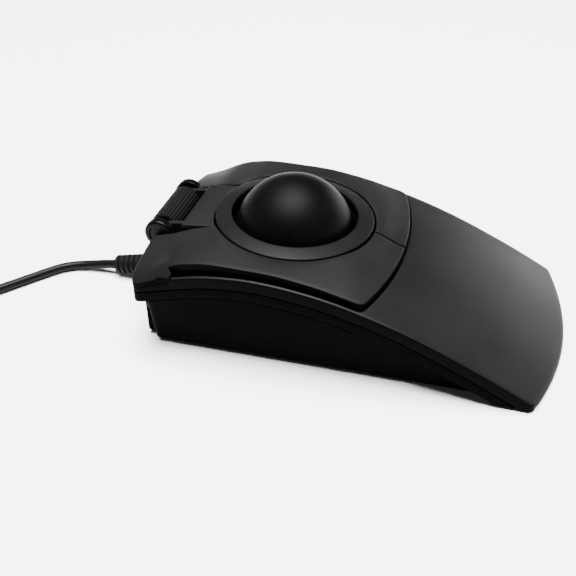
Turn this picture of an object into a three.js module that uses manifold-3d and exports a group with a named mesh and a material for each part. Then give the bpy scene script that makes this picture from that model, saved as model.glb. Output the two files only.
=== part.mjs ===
// Trackball mouse: a long palm shell with a 57 mm ball, two rocking button plates,
// a sprung middle tongue that carries a scroll roller, and a USB cord with a coil and plug.
// Millimetres. +Z is up, +Y runs from the palm towards the cord, +X is the user's right.
// The origin is on the desk, under the middle of the mouse without its cord.
import * as THREE from 'three';
import { mergeVertices } from 'three/addons/utils/BufferGeometryUtils.js';
import { RoundedBoxGeometry } from 'three/addons/geometries/RoundedBoxGeometry.js';
import Module from 'manifold-3d';

const wasm = await Module();
wasm.setup();

// ---------------------------------------------------------------- driving dimensions
const GAP = 0.3; // between pieces that touch
const HALF_WIDTH = 54.2; // of the shell
const FRONT_Y = 95.2; // front edge of the covers
const PALM_Y = -99.3; // palm end, on the centre line
const ARC_RADIUS = 145; // plan radius of the palm end and of the plates' rear edge
const BAND_HEIGHT = 5.7; // top cover's side band, square to its edge
const FLANGE_HEIGHT = 5.2; // bottom housing's band below the parting line
const WALL = 2.2;
const PALM_CROWN = 3.2; // rise of the shell across its width

const BALL_RADIUS = 28.575; // a 2 1/4 inch ball
const BALL_Y = 32.1;
const BALL_Z = 41;

const RING_Y = 31.5; // centre of the bezel ring
const RING_INNER = 30;
const RING_OUTER = 37.7;
const RING_INNER_Z = 52.5; // its top face falls outwards like a shallow cone
const RING_OUTER_Z = 50.5;
const RING_SLOPE = 0.065; // rise towards the cord
const RING_GROOVE = 0.9;

const PLATE_HALF = 50.5; // outer side of the button plates
const PLATE_REAR = -21.8; // rear edge, on the centre line
const PLATE_STEP = 2.2; // the plates' rear edge above the shell
const PLATE_THICK = 3.8;
const LIP_THICK = 2; // where the wings reach out over the side band
const WELL_HALF = 52.6; // inner side of the cover's rails
const WELL_DEPTH = 4.2;
const WELL_FLOOR = 1.3;
const WING_Y = 76.4; // the side grooves end here, and the plates run on as wings
const LIP_Y = 74.2; // rear end of the wings' lips over the side band
const SEAM = 0.5; // half the gap between the two plates

const TONGUE_HALF = 20;
const TONGUE_FRONT = 82;
const TONGUE_FRONT_Z = 49.2;
const TONGUE_SLOPE = -0.095;
const SLOT_HALF = 22.9; // inner side of the wings beside the roller

const ROLLER_Y = 93.2;
const ROLLER_Z = 42.8;
const ROLLER_RADIUS = 7; // of the rubber sleeve
const CAP_RADIUS = 7.4;
const ROLLER_HALF = 22.6;
const POCKET_FLOOR = 33.6;
const SLEEVE_HALF = 14.6;
const ARM = { inner: 15.1, outer: 17.5, radius: 4.6 };
const AXLE_RADIUS = 1.5;
const CAP_BORE_END = ROLLER_HALF - 2; // the caps are closed at their outer ends

const CUP_INNER = 29.4;
const CUP_OUTER = 31.8;
const CUP_RIM = 4.4; // above the ball's equator
const CUP_FLANGE = 35;
const DECK_TOP = 31.5;
const DECK_THICK = 2;
const BOARD_Z = 4.2;
const BOARD_THICK = 1.6;
const FLOOR_Z = 1; // underside of the bottom housing, above the feet
const TUB_HALF = 48.2; // half width of the tub at its underside
const TUB_DRAFT = 0.223; // outward lean of its sides
const TUB_FRONT = 88.4;
const TUB_REAR = -82;
const NOSE = { half: 43.5, front: 94, top: 27 };

const SWITCH = { length: 12.8, width: 6.5, height: 6.2, well: 3.2, wellHalf: 1.5 };
const SWITCH_PLACES = { left: [-30, 2], right: [30, 2], middle: [0, 78.4] };
const PLUNGER = { half: 1.2, length: 2.8 };
const PLUNGER_TOP = DECK_TOP + GAP + SWITCH.height + 1.1;

const SCREW = { shank: 1.5, head: 2.9 };
const SCREW_PLACES = [[-36, -46], [36, -46], [-42, 82], [42, 82]]; // bottom housing to cover
const DECK_POSTS = [[-38, -5], [38, -5], [-38, 66], [38, 66]];
const BOARD_POSTS = [[-26, -10], [26, -10], [-26, 70], [26, 70]];
const FEET = [[-38, 76], [38, 76], [-38, -66], [38, -66]];
const FOOT_RADIUS = 6;

const BEARING_RADIUS = 1.25; // the three small balls that carry the trackball
const BEARING_BELOW = THREE.MathUtils.degToRad(42); // below the ball's equator
const BEARING_TURNS = { front: 90, left: 210, right: 330 };

const CORD_DIAMETER = 4.8;
const GLAND_START = [95.4, 11.5]; // y and z on its axis at the housing wall
const GLAND_TIP = [130, 5.6];
const COIL_CENTRE = [-36, 235];
const COIL = { inner: 15.9, outer: 40.1, base: 1.2, height: 10 };
const PLUG = { start: [2, 268.8], turn: -24.5, boot: 26, width: 13.6, thick: 7.6, z: 3.9 };
const SHELL = { length: 19, width: 12, height: 4.5, wall: 0.35 };

// The cord's free stretch from the gland's tip to the coil, and from the coil to the plug.
const CORD_ROUTE = [
  [0, 130.4, 5.5], [-0.1, 136, 4.6], [-0.4, 142, 3.6], [-1.2, 148, 2.8], [-2.8, 153.6, 2.5],
  [-6, 159, 2.5], [-11.4, 164.4, 2.5], [-18, 169.9, 2.5], [-25.2, 175.8, 2.5],
  [-33, 182.3, 2.5], [-41.5, 189.6, 2.5], [-45.4, 193.1, 2.7],
];
const INNER_ROUTE = [[0, 87.2, 12.8], [0, 84, 12.8], [0, 78, 11], [0, 73, 9.2], [0, 70.6, 8.8]];
const TAIL_ROUTE = [
  [-30, 277.5, 6.6], [-23.4, 277.3, 5.3], [-16.5, 276.2, 4.4], [-9.6, 274, 3.9],
  [-2.4, 270.8, 3.9],
];

// ---------------------------------------------------------------- solids
function toSolid(geometry) {
  const bare = new THREE.BufferGeometry();
  bare.setAttribute('position', geometry.attributes.position.clone());
  if (geometry.index) bare.setIndex(geometry.index.clone());
  const merged = mergeVertices(bare, 1e-4);
  const index = merged.index.array;
  const triangles = [];
  for (let i = 0; i < index.length; i += 3) {
    const [a, b, c] = [index[i], index[i + 1], index[i + 2]];
    if (a !== b && b !== c && c !== a) triangles.push(a, b, c);
  }
  return new wasm.Manifold(new wasm.Mesh({
    numProp: 3,
    vertProperties: new Float32Array(merged.attributes.position.array),
    triVerts: new Uint32Array(triangles),
  }));
}

function toGeometry(solid) {
  const mesh = solid.getMesh();
  const geometry = new THREE.BufferGeometry();
  geometry.setAttribute('position', new THREE.BufferAttribute(mesh.vertProperties, 3));
  geometry.setIndex(new THREE.BufferAttribute(mesh.triVerts, 1));
  geometry.computeVertexNormals();
  return geometry;
}

const box = (x0, x1, y0, y1, z0, z1) => toSolid(
  new THREE.BoxGeometry(x1 - x0, y1 - y0, z1 - z0)
    .translate((x0 + x1) / 2, (y0 + y1) / 2, (z0 + z1) / 2));

const post = (x, y, z0, z1, radius, sides = 12) => toSolid(
  new THREE.CylinderGeometry(radius, radius, z1 - z0, sides)
    .rotateX(Math.PI / 2).translate(x, y, (z0 + z1) / 2));

const shaftX = (x0, x1, y, z, radius, sides = 16) => toSolid(
  new THREE.CylinderGeometry(radius, radius, x1 - x0, sides)
    .rotateZ(Math.PI / 2).translate((x0 + x1) / 2, y, z));

const prism = (shape, z0, z1, curveSegments = 12) => toSolid(
  new THREE.ExtrudeGeometry(shape, { depth: z1 - z0, bevelEnabled: false, curveSegments })
    .translate(0, 0, z0));

// A profile of [radius, z] points turned about the z axis.
const turned = (profile, segments = 36) => toSolid(
  new THREE.LatheGeometry(profile.map(([r, z]) => new THREE.Vector2(r, z)), segments)
    .rotateX(Math.PI / 2));

// The solid between two height functions over a rectangle of nx by ny cells.
function slab(top, bottom, [x0, x1, nx], [y0, y1, ny]) {
  const positions = [];
  for (const height of [top, bottom]) {
    for (let j = 0; j <= ny; j++) {
      for (let i = 0; i <= nx; i++) {
        const x = x0 + (x1 - x0) * i / nx;
        const y = y0 + (y1 - y0) * j / ny;
        positions.push(x, y, height(x, y));
      }
    }
  }
  const at = (i, j, layer) => layer * (nx + 1) * (ny + 1) + j * (nx + 1) + i;
  const index = [];
  const quad = (a, b, c, d) => index.push(a, b, c, a, c, d);
  for (let j = 0; j < ny; j++) {
    for (let i = 0; i < nx; i++) {
      quad(at(i, j, 0), at(i + 1, j, 0), at(i + 1, j + 1, 0), at(i, j + 1, 0));
      quad(at(i, j, 1), at(i, j + 1, 1), at(i + 1, j + 1, 1), at(i + 1, j, 1));
    }
    quad(at(0, j, 0), at(0, j + 1, 0), at(0, j + 1, 1), at(0, j, 1));
    quad(at(nx, j, 0), at(nx, j, 1), at(nx, j + 1, 1), at(nx, j + 1, 0));
  }
  for (let i = 0; i < nx; i++) {
    quad(at(i, 0, 0), at(i, 0, 1), at(i + 1, 0, 1), at(i + 1, 0, 0));
    quad(at(i, ny, 0), at(i + 1, ny, 0), at(i + 1, ny, 1), at(i, ny, 1));
  }
  const geometry = new THREE.BufferGeometry();
  geometry.setAttribute('position', new THREE.Float32BufferAttribute(positions, 3));
  geometry.setIndex(index);
  return toSolid(geometry);
}

// ---------------------------------------------------------------- height lines
const clamp = (t) => Math.min(1, Math.max(0, t));
const ease = (t) => clamp(t) ** 2 * (3 - 2 * clamp(t));
const mix = (a, b, t) => a + (b - a) * t;

// A smooth line through [y, z] points: Hermite spans with the neighbours' mean slope.
function line(points) {
  const slope = points.map((_, i) => {
    const a = points[Math.max(0, i - 1)];
    const b = points[Math.min(points.length - 1, i + 1)];
    return (b[1] - a[1]) / (b[0] - a[0]);
  });
  return (y) => {
    let i = 0;
    while (i < points.length - 2 && y > points[i + 1][0]) i++;
    const [[y0, z0], [y1, z1]] = [points[i], points[i + 1]];
    const h = y1 - y0;
    const t = (y - y0) / h;
    if (t < 0) return z0 + slope[i] * (y - y0);
    if (t > 1) return z1 + slope[i + 1] * (y - y1);
    return z0 * (1 + 2 * t) * (1 - t) ** 2 + slope[i] * h * t * (1 - t) ** 2
      + z1 * t ** 2 * (3 - 2 * t) + slope[i + 1] * h * t ** 2 * (t - 1);
  };
}

// Top edge of the side band, from the palm end to the front.
const edge = line([[-99.3, -1.4], [-87.6, 5.1], [-69.6, 14.8], [-43.4, 27.2], [-21, 35.8],
  [4.8, 43], [33.4, 46.7], [56.7, 45.6], [75.2, 41.7], [94.4, 36.6]]);
// The plates' height on the centre line and at the full width.
const plateCentre = line([[-22.6, 40.6], [-7.6, 47], [3.4, 49.5], [33.4, 52], [58.4, 52.5],
  [69.4, 50.6], [76.4, 49], [85.4, 46.2], [94.4, 44.2]]);
const plateSide = line([[-22.6, 38.1], [-12.6, 40.3], [-4.6, 42.3], [6.4, 45.4], [15.4, 47.3],
  [27.4, 49.2], [42.4, 49.8], [58.4, 49.9], [69.4, 48.1], [76.4, 46.3], [85.4, 41.2], [94.4, 37]]);

const arcY = (x, middle) => middle + ARC_RADIUS - Math.sqrt(ARC_RADIUS ** 2 - x ** 2);
const skin = (x, y) => edge(y) + PALM_CROWN * (1 - (x / HALF_WIDTH) ** 2);
const parting = (x, y) => {
  const slope = (edge(y + 1) - edge(y - 1)) / 2;
  return Math.max(0.6, edge(y) - BAND_HEIGHT * Math.hypot(1, slope));
};

const PLATE_POWER = 2.5; // how flat the plates stay before they fall to the sides
const RING_BLEND = 5; // width over which the plates come up to the ring
const REAR_BLEND = 13;
function plate(x, y) {
  const u = Math.min(1, Math.abs(x) / HALF_WIDTH);
  let z = mix(plateCentre(y), plateSide(y), u ** PLATE_POWER);
  const fromRing = Math.hypot(x, y - RING_Y) - RING_OUTER;
  const proud = 0.9 * ease((4 - y) / 10); // the ring stands above the plates at its rear
  const ringZ = RING_OUTER_Z + RING_SLOPE * (y - RING_Y) - proud;
  const front = ease((y - 58) / 10); // ahead of this the ring stands proud
  z = mix(z, ringZ, (1 - ease(fromRing / RING_BLEND)) * (1 - front));
  z = mix(skin(x, y) + PLATE_STEP, z, ease((y - arcY(x, PLATE_REAR)) / REAR_BLEND));
  const shoulder = clamp((Math.abs(x) - PLATE_HALF) / (HALF_WIDTH - PLATE_HALF));
  const corner = 1.4 * ease((y - 80) / 15); // the wings fall away at the front corners
  return mix(z, edge(y) + 0.2 - corner, shoulder * ease((y - WING_Y + 6) / 6));
}
const tongueTop = (x, y) => TONGUE_FRONT_Z + TONGUE_SLOPE * (y - TONGUE_FRONT);

// ---------------------------------------------------------------- outlines
// Plan outline of the covers, drawn in by inset.
function coverOutline(inset, rear = PALM_Y) {
  const half = HALF_WIDTH - inset;
  const front = FRONT_Y - inset;
  const corner = 5;
  const radius = ARC_RADIUS - inset;
  const turn = Math.asin((half - 1) / radius);
  const shape = new THREE.Shape();
  shape.absarc(0, rear + ARC_RADIUS, radius, -Math.PI / 2 - turn, -Math.PI / 2 + turn, false);
  const cornerY = rear + ARC_RADIUS - Math.sqrt(radius ** 2 - half ** 2);
  shape.quadraticCurveTo(half, cornerY, half, cornerY + 1.5);
  shape.lineTo(half, front - corner);
  shape.quadraticCurveTo(half, front, half - corner, front);
  shape.lineTo(-half + corner, front);
  shape.quadraticCurveTo(-half, front, -half, front - corner);
  shape.lineTo(-half, cornerY + 1.5);
  shape.quadraticCurveTo(-half, cornerY, -half + 1, cornerY - 0.4);
  return shape;
}

// Plan outline of the well under the plates, or of a hole in its floor.
function wellOutline(half, rear, front) {
  const turn = Math.asin((half - 3) / ARC_RADIUS);
  const shape = new THREE.Shape();
  shape.absarc(0, rear + ARC_RADIUS, ARC_RADIUS, -Math.PI / 2 - turn, -Math.PI / 2 + turn, false);
  shape.quadraticCurveTo(half, arcY(half, rear), half, arcY(half, rear) + 4);
  shape.lineTo(half, front);
  shape.lineTo(-half, front);
  shape.lineTo(-half, arcY(half, rear) + 4);
  shape.quadraticCurveTo(-half, arcY(half, rear), -half + 3, arcY(half - 3, rear));
  return shape;
}

// The right button: a plate round the ring, and the wing ahead of it as wide as wingHalf.
function buttonOutline(wingHalf, front) {
  const clear = RING_OUTER + RING_GROOVE;
  const rearCentre = PLATE_REAR + ARC_RADIUS;
  const shape = new THREE.Shape();
  shape.absarc(0, rearCentre, ARC_RADIUS, Math.asin(SEAM / ARC_RADIUS) - Math.PI / 2,
    Math.asin((PLATE_HALF - 4) / ARC_RADIUS) - Math.PI / 2, false);
  const cornerY = arcY(PLATE_HALF, PLATE_REAR);
  shape.quadraticCurveTo(PLATE_HALF, cornerY, PLATE_HALF, cornerY + 5);
  shape.lineTo(PLATE_HALF, WING_Y);
  shape.lineTo(WELL_HALF - GAP, LIP_Y);
  shape.lineTo(wingHalf, LIP_Y);
  shape.lineTo(wingHalf, front - 5);
  shape.quadraticCurveTo(wingHalf, front, wingHalf - 5, front);
  shape.lineTo(SLOT_HALF, front);
  shape.lineTo(SLOT_HALF, TONGUE_FRONT + 2);
  shape.lineTo(TONGUE_HALF + 0.4, RING_Y + Math.sqrt(clear ** 2 - (TONGUE_HALF + 0.4) ** 2));
  shape.absarc(0, RING_Y, clear, Math.acos((TONGUE_HALF + 0.4) / clear),
    Math.asin(SEAM / clear) - Math.PI / 2, true);
  return shape;
}

// ---------------------------------------------------------------- pieces
// Both housings take the parting line at the same stations, so they meet along it.
const LENGTHWISE = [PALM_Y - 1, FRONT_Y + 1, 22];

function topCover() {
  const across = [-HALF_WIDTH - 1, HALF_WIDTH + 1, 6];
  const along = LENGTHWISE;
  const outer = prism(coverOutline(0), -5, 60).intersect(slab(skin, parting, across, along));
  const inner = prism(coverOutline(WALL), -5, 60)
    .intersect(slab((x, y) => skin(x, y) - WALL, () => -4, across, along));
  const wellRear = PLATE_REAR - 1;
  const wellSpan = [-30, FRONT_Y + 1, 12];
  const wellBlock = prism(wellOutline(WELL_HALF + 0.8, wellRear - 1.6, WING_Y), 0, 60)
    .intersect(slab((x, y) => skin(x, y) - 1, (x, y) => skin(x, y) - WELL_DEPTH - WELL_FLOOR,
      across, wellSpan));
  const well = prism(wellOutline(WELL_HALF, wellRear, WING_Y), 0, 70)
    .intersect(slab(() => 70, (x, y) => skin(x, y) - WELL_DEPTH, across, wellSpan));
  const hole = prism(wellOutline(42, -12, 79), 0, 70);
  const railSpan = [WING_Y - 4, FRONT_Y + 1, 4];
  const underWings = slab(() => 80, (x, y) => plate(x, y) - PLATE_THICK - 0.8,
    [-WELL_HALF, WELL_HALF, 8], railSpan).intersect(box(-60, 60, WING_Y, FRONT_Y - WALL, 0, 90));
  const underLips = slab(() => 80, (x, y) => plate(x, y) - LIP_THICK - GAP, across, railSpan)
    .intersect(box(-60, 60, LIP_Y - GAP, FRONT_Y + 2, 0, 90));
  const rollerPocket = box(-SLOT_HALF - 0.4, SLOT_HALF + 0.4, 60, FRONT_Y + 2, POCKET_FLOOR, 80);
  const bosses = SCREW_PLACES.map(([x, y]) => post(x, y, 7, skin(x, y) - 1, 3.6)
    .subtract(post(x, y, 0, 14, SCREW.shank + GAP, 8)));
  return [wellBlock, ...bosses]
    .reduce((whole, piece) => whole.add(piece), outer.subtract(inner))
    .subtract(well).subtract(hole).subtract(underWings).subtract(underLips)
    .subtract(rollerPocket);
}

function tub(inset, floor, top) {
  const outline = (half, front, z) => {
    const r = 3;
    const points = [[-half, TUB_REAR + inset], [half, TUB_REAR + inset], [half, front - r],
      [half - r * 0.3, front - r * 0.3], [half - r, front], [-half + r, front],
      [-half + r * 0.3, front - r * 0.3], [-half, front - r]];
    return points.map(([x, y]) => new THREE.Vector3(x, y, z));
  };
  const low = outline(TUB_HALF + TUB_DRAFT * (floor - FLOOR_Z) - inset, TUB_FRONT - inset, floor);
  const high = outline(TUB_HALF + TUB_DRAFT * (top - FLOOR_Z) - inset, TUB_FRONT - inset, top);
  const n = low.length;
  const positions = [...low, ...high].flatMap((p) => p.toArray());
  const index = [];
  for (let i = 0; i < n; i++) {
    const j = (i + 1) % n;
    index.push(i, j, j + n, i, j + n, i + n);
    if (i > 1) index.push(0, i, i - 1, n, n + i - 1, n + i);
  }
  const geometry = new THREE.BufferGeometry();
  geometry.setAttribute('position', new THREE.Float32BufferAttribute(positions, 3));
  geometry.setIndex(index);
  return toSolid(geometry);
}

function bottomHousing() {
  const across = [-HALF_WIDTH - 1, HALF_WIDTH + 1, 2];
  const along = LENGTHWISE;
  const top = (x, y) => parting(x, y) - GAP;
  const under = slab(top, () => FLOOR_Z - 0.4, across, along);
  const flange = slab(top, (x, y) => Math.max(FLOOR_Z - 0.4, top(x, y) - FLANGE_HEIGHT),
    across, along);
  const nose = box(-NOSE.half, NOSE.half, TUB_FRONT - 1, NOSE.front, FLOOR_Z, NOSE.top)
    .subtract(box(-NOSE.half + WALL, NOSE.half - WALL, TUB_FRONT - 9, NOSE.front - WALL,
      FLOOR_Z + WALL, NOSE.top - WALL));
  const hollow = tub(WALL, FLOOR_Z + WALL, 60);
  const outside = tub(0, FLOOR_Z, 60).intersect(under).add(flange)
    .intersect(prism(coverOutline(0, PALM_Y + 1), -5, 60))
    .intersect(box(-60, 60, TUB_REAR, FRONT_Y, -5, 60));
  let shell = outside.subtract(hollow)
    .add(nose.intersect(under))
    .subtract(box(-NOSE.half + WALL, NOSE.half - WALL, TUB_FRONT - 7, NOSE.front - WALL,
      FLOOR_Z + WALL, NOSE.top - WALL - 4));
  for (const [x, y] of DECK_POSTS) {
    shell = shell.add(post(x, y, FLOOR_Z + 1, DECK_TOP - DECK_THICK - GAP, 3.6)
      .subtract(post(x, y, 14, 40, SCREW.shank + GAP, 8)));
  }
  for (const [x, y] of SCREW_PLACES) {
    shell = shell.add(post(x, y, FLOOR_Z, 6.6, 5)).subtract(post(x, y, 0, 3.8, 3.4))
      .subtract(post(x, y, 0, 9, SCREW.shank + GAP, 8));
  }
  for (const [x, y] of BOARD_POSTS) shell = shell.add(post(x, y, FLOOR_Z + 1, BOARD_Z - GAP, 2.5));
  const [glandY, glandZ] = GLAND_START;
  return shell.subtract(toSolid(new THREE.CylinderGeometry(4.3, 4.3, 12, 24)
    .translate(0, glandY - 2, glandZ + 0.4)));
}

const pressPost = ([x, y], top) => box(x - 2, x + 2, y - 2, y + 2, PLUNGER_TOP + GAP, top);

function rightButton() {
  const layer = (thick, outline) => prism(outline, 0, 80, 14)
    .intersect(slab(plate, (x, y) => plate(x, y) - thick, [0, 55.3, 7], [-23, 96, 16]));
  return layer(PLATE_THICK, buttonOutline(WELL_HALF - GAP, FRONT_Y - WALL - GAP))
    .add(layer(LIP_THICK, buttonOutline(HALF_WIDTH, FRONT_Y)))
    .add(pressPost(SWITCH_PLACES.right, plate(...SWITCH_PLACES.right) - 1.5));
}

function middleButton() {
  const clear = RING_OUTER + RING_GROOVE;
  const turn = Math.acos(TONGUE_HALF / clear);
  const shape = new THREE.Shape();
  shape.absarc(0, RING_Y, clear, Math.PI - turn, turn, true);
  shape.lineTo(TONGUE_HALF, TONGUE_FRONT);
  shape.lineTo(-TONGUE_HALF, TONGUE_FRONT);
  const sheet = slab(tongueTop, (x, y) => tongueTop(x, y) - 2.4, [-22, 22, 1], [60, 84, 1]);
  let tongue = prism(shape, 40, 60, 16).intersect(sheet)
    .add(pressPost(SWITCH_PLACES.middle, TONGUE_FRONT_Z - 1.5));
  for (const side of [-1, 1]) {
    const [x0, x1] = side > 0 ? [ARM.inner, ARM.outer] : [-ARM.outer, -ARM.inner];
    const arm = new THREE.Shape();
    arm.moveTo(TONGUE_FRONT - 6, TONGUE_FRONT_Z - 1);
    arm.lineTo(TONGUE_FRONT - 6, TONGUE_FRONT_Z - 5);
    arm.lineTo(ROLLER_Y - 3, ROLLER_Z - ARM.radius + 1);
    arm.absarc(ROLLER_Y, ROLLER_Z, ARM.radius, -2.2, 1.9, false);
    arm.lineTo(TONGUE_FRONT + 1.5, TONGUE_FRONT_Z - 0.6);
    arm.lineTo(TONGUE_FRONT - 0.5, TONGUE_FRONT_Z - 0.4);
    const plateX = toSolid(new THREE.ExtrudeGeometry(arm, { depth: x1 - x0, bevelEnabled: false })
      .rotateX(Math.PI / 2).rotateZ(Math.PI / 2).translate(x0, 0, 0));
    tongue = tongue.add(plateX)
      .subtract(shaftX(x0 - 1, x1 + 1, ROLLER_Y, ROLLER_Z, AXLE_RADIUS + 0.35));
  }
  return tongue;
}

function bezelRing() {
  const profile = [[RING_INNER, RING_INNER_Z - 0.6], [RING_INNER + 0.8, RING_INNER_Z],
    [RING_OUTER - 0.6, RING_OUTER_Z], [RING_OUTER, RING_OUTER_Z - 0.5],
    [RING_OUTER, RING_OUTER_Z - 3], [35.4, RING_OUTER_Z - 2.6], [35.2, 42], [33.4, 42],
    [33.2, RING_OUTER_Z - 2], [RING_INNER, RING_INNER_Z - 2.8]];
  const geometry = new THREE.LatheGeometry(
    [...profile, profile[0]].map(([r, z]) => new THREE.Vector2(r, z - RING_OUTER_Z)).reverse(), 36)
    .rotateX(Math.PI / 2).rotateX(Math.atan(RING_SLOPE)).translate(0, RING_Y, RING_OUTER_Z);
  return toSolid(geometry);
}

const spherePoint = (radius, below) => [radius * Math.cos(below), -radius * Math.sin(below)];

function ballCup() {
  const steps = 5;
  const start = Math.acos(7.5 / CUP_INNER); // the bottom is open for the sensor
  const inner = [];
  const outer = [];
  for (let i = 0; i <= steps; i++) {
    inner.push(spherePoint(CUP_INNER, start * (1 - i / steps)));
    outer.push(spherePoint(CUP_OUTER, start * (i / steps)));
  }
  const flangeZ = DECK_TOP + GAP - BALL_Z;
  const flange = [[CUP_OUTER, CUP_RIM], [CUP_OUTER, flangeZ + 2], [CUP_FLANGE, flangeZ + 2],
    [CUP_FLANGE, flangeZ], [CUP_OUTER, flangeZ]];
  const below = outer.filter(([, z]) => z < flangeZ - 0.5);
  const profile = [...inner, [CUP_INNER, CUP_RIM], ...flange, ...below];
  let cup = turned([...profile, profile[0]].reverse(), 32).translate([0, BALL_Y, BALL_Z]);
  for (const centre of bearingCentres()) cup = cup.subtract(bead(centre, BEARING_RADIUS + 0.35, 6));
  return cup;
}

const bead = ([x, y, z], radius, sides) => toSolid(
  new THREE.SphereGeometry(radius, sides, sides / 2).rotateX(Math.PI / 2).translate(x, y, z));
function bearingCentres() {
  const reach = BALL_RADIUS + GAP + BEARING_RADIUS;
  return Object.values(BEARING_TURNS).map((degrees) => {
    const turn = THREE.MathUtils.degToRad(degrees);
    const [r, z] = spherePoint(reach, BEARING_BELOW);
    return [r * Math.cos(turn), BALL_Y + r * Math.sin(turn), BALL_Z + z];
  });
}

function deck() {
  const shape = new THREE.Shape();
  shape.moveTo(-42, -9);
  shape.lineTo(42, -9);
  shape.lineTo(42, 71);
  shape.lineTo(12, 82);
  shape.lineTo(-12, 82);
  shape.lineTo(-42, 71);
  const hole = new THREE.Path();
  hole.absarc(0, BALL_Y, CUP_OUTER + 0.5, 0, Math.PI * 2, true);
  shape.holes.push(hole);
  let plateSolid = prism(shape, DECK_TOP - DECK_THICK, DECK_TOP, 24);
  for (const [x, y] of DECK_POSTS) {
    plateSolid = plateSolid.subtract(post(x, y, 20, 40, SCREW.shank + GAP, 8));
  }
  return plateSolid;
}

const screw = (x, y, headLow, headHigh, tip) => post(x, y, headLow, headHigh, SCREW.head)
  .add(post(x, y, Math.min(tip, headLow), Math.max(tip, headHigh), SCREW.shank, 8));

const circuitBoard = () => box(-30, 30, -14, 76, BOARD_Z, BOARD_Z + BOARD_THICK);

function microSwitch([x, y]) {
  const z = DECK_TOP + GAP;
  const [halfX, halfY] = [SWITCH.length / 2, SWITCH.width / 2];
  const half = SWITCH.wellHalf;
  return box(x - halfX, x + halfX, y - halfY, y + halfY, z, z + SWITCH.height)
    .subtract(box(x - half, x + half, y - half, y + half, z + SWITCH.height - SWITCH.well, z + 10));
}

const plunger = ([x, y]) => box(x - PLUNGER.half, x + PLUNGER.half, y - PLUNGER.half,
  y + PLUNGER.half, PLUNGER_TOP - PLUNGER.length, PLUNGER_TOP);

function rollerSleeve() {
  const ribs = 20;
  const shape = new THREE.Shape();
  for (let i = 0; i < ribs; i++) {
    [[0, ROLLER_RADIUS], [0.3, ROLLER_RADIUS], [0.5, ROLLER_RADIUS - 0.5], [0.8, ROLLER_RADIUS - 0.5]]
      .forEach(([step, radius], k) => {
        const turn = (i + step) / ribs * Math.PI * 2;
        const point = [radius * Math.cos(turn), radius * Math.sin(turn)];
        if (i + k === 0) shape.moveTo(...point); else shape.lineTo(...point);
      });
  }
  const hole = new THREE.Path();
  hole.absarc(0, 0, 4.5, 0, Math.PI * 2, true);
  shape.holes.push(hole);
  return toSolid(new THREE.ExtrudeGeometry(shape, { depth: SLEEVE_HALF * 2, bevelEnabled: false })
    .rotateY(Math.PI / 2).translate(-SLEEVE_HALF, ROLLER_Y, ROLLER_Z));
}

const rollerCore = () => shaftX(-SLEEVE_HALF, SLEEVE_HALF, ROLLER_Y, ROLLER_Z, 4.2)
  .subtract(shaftX(-30, 30, ROLLER_Y, ROLLER_Z, AXLE_RADIUS + GAP));

function rollerCap(side) {
  const inner = ARM.outer + 0.5;
  const profile = [[AXLE_RADIUS + GAP, inner], [CAP_RADIUS, inner],
    [CAP_RADIUS, ROLLER_HALF - 1.6], [CAP_RADIUS - 0.6, ROLLER_HALF - 0.5],
    [CAP_RADIUS - 1.9, ROLLER_HALF], [0, ROLLER_HALF], [0, CAP_BORE_END],
    [AXLE_RADIUS + GAP, CAP_BORE_END]];
  return toSolid(new THREE.LatheGeometry(
    [...profile, profile[0]].map(([r, z]) => new THREE.Vector2(r, z)), 20)
    .rotateZ(-side * Math.PI / 2).translate(0, ROLLER_Y, ROLLER_Z));
}

const rollerAxle = () => shaftX(-CAP_BORE_END + GAP, CAP_BORE_END - GAP, ROLLER_Y, ROLLER_Z,
  AXLE_RADIUS);

// A rubber sleeve with ribs towards its tip, made straight along +Y, then tipped down.
function cableGland() {
  const length = Math.hypot(GLAND_TIP[0] - GLAND_START[0], GLAND_TIP[1] - GLAND_START[1]);
  const profile = [[0, -6.6], [6, -6.6], [6, -5.2], [3.6, -5.2], [3.6, 0], [6.2, 0], [6, 5]];
  const ribs = 6;
  const pitch = (length - 7) / ribs;
  for (let i = 0; i < ribs; i++) {
    const at = 6 + i * pitch;
    const radius = mix(5.9, 4.85, i / (ribs - 1));
    profile.push([radius - 1.3, at], [radius - 1.3, at + 1.6], [radius, at + 2.2],
      [radius, at + pitch - 0.3]);
  }
  profile.push([3.4, length], [0, length]);
  const geometry = new THREE.LatheGeometry(
    profile.map(([r, z]) => new THREE.Vector2(r, z)), 12);
  const tip = Math.atan2(GLAND_TIP[1] - GLAND_START[1], GLAND_TIP[0] - GLAND_START[0]);
  return toSolid(geometry.rotateX(tip).translate(0, GLAND_START[0], GLAND_START[1]));
}

// A round tube along points, with steps of two to three diameters.
function tube(points, diameter, steps, sides = 10) {
  const section = new THREE.Shape();
  for (let i = 0; i < sides; i++) {
    const turn = i / sides * Math.PI * 2;
    const point = [diameter / 2 * Math.cos(turn), diameter / 2 * Math.sin(turn)];
    if (i === 0) section.moveTo(...point); else section.lineTo(...point);
  }
  const path = new THREE.CatmullRomCurve3(points.map((p) => new THREE.Vector3(...p)));
  return toSolid(new THREE.ExtrudeGeometry(section, { steps, extrudePath: path }));
}

const coilRing = () => {
  const { inner, outer, base, height } = COIL;
  const profile = [[inner, base + 1.5], [inner + 1.5, base], [outer - 1.5, base],
    [outer, base + 1.5], [outer, base + height - 2.5], [outer - 2.5, base + height],
    [inner + 2.5, base + height], [inner, base + height - 2.5], [inner, base + 1.5]];
  return turned(profile, 32).translate([...COIL_CENTRE, 0]);
};

function cordTie() {
  const [x, y] = COIL_CENTRE;
  const { inner, outer, base, height } = COIL;
  return box(x + inner - 1.3, x + outer + 1.3, y - 3, y + 3, 0.1, base + height + 1.2)
    .subtract(box(x + inner - 0.4, x + outer + 0.4, y - 4, y + 4, base - 0.4,
      base + height + 0.4));
}

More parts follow.
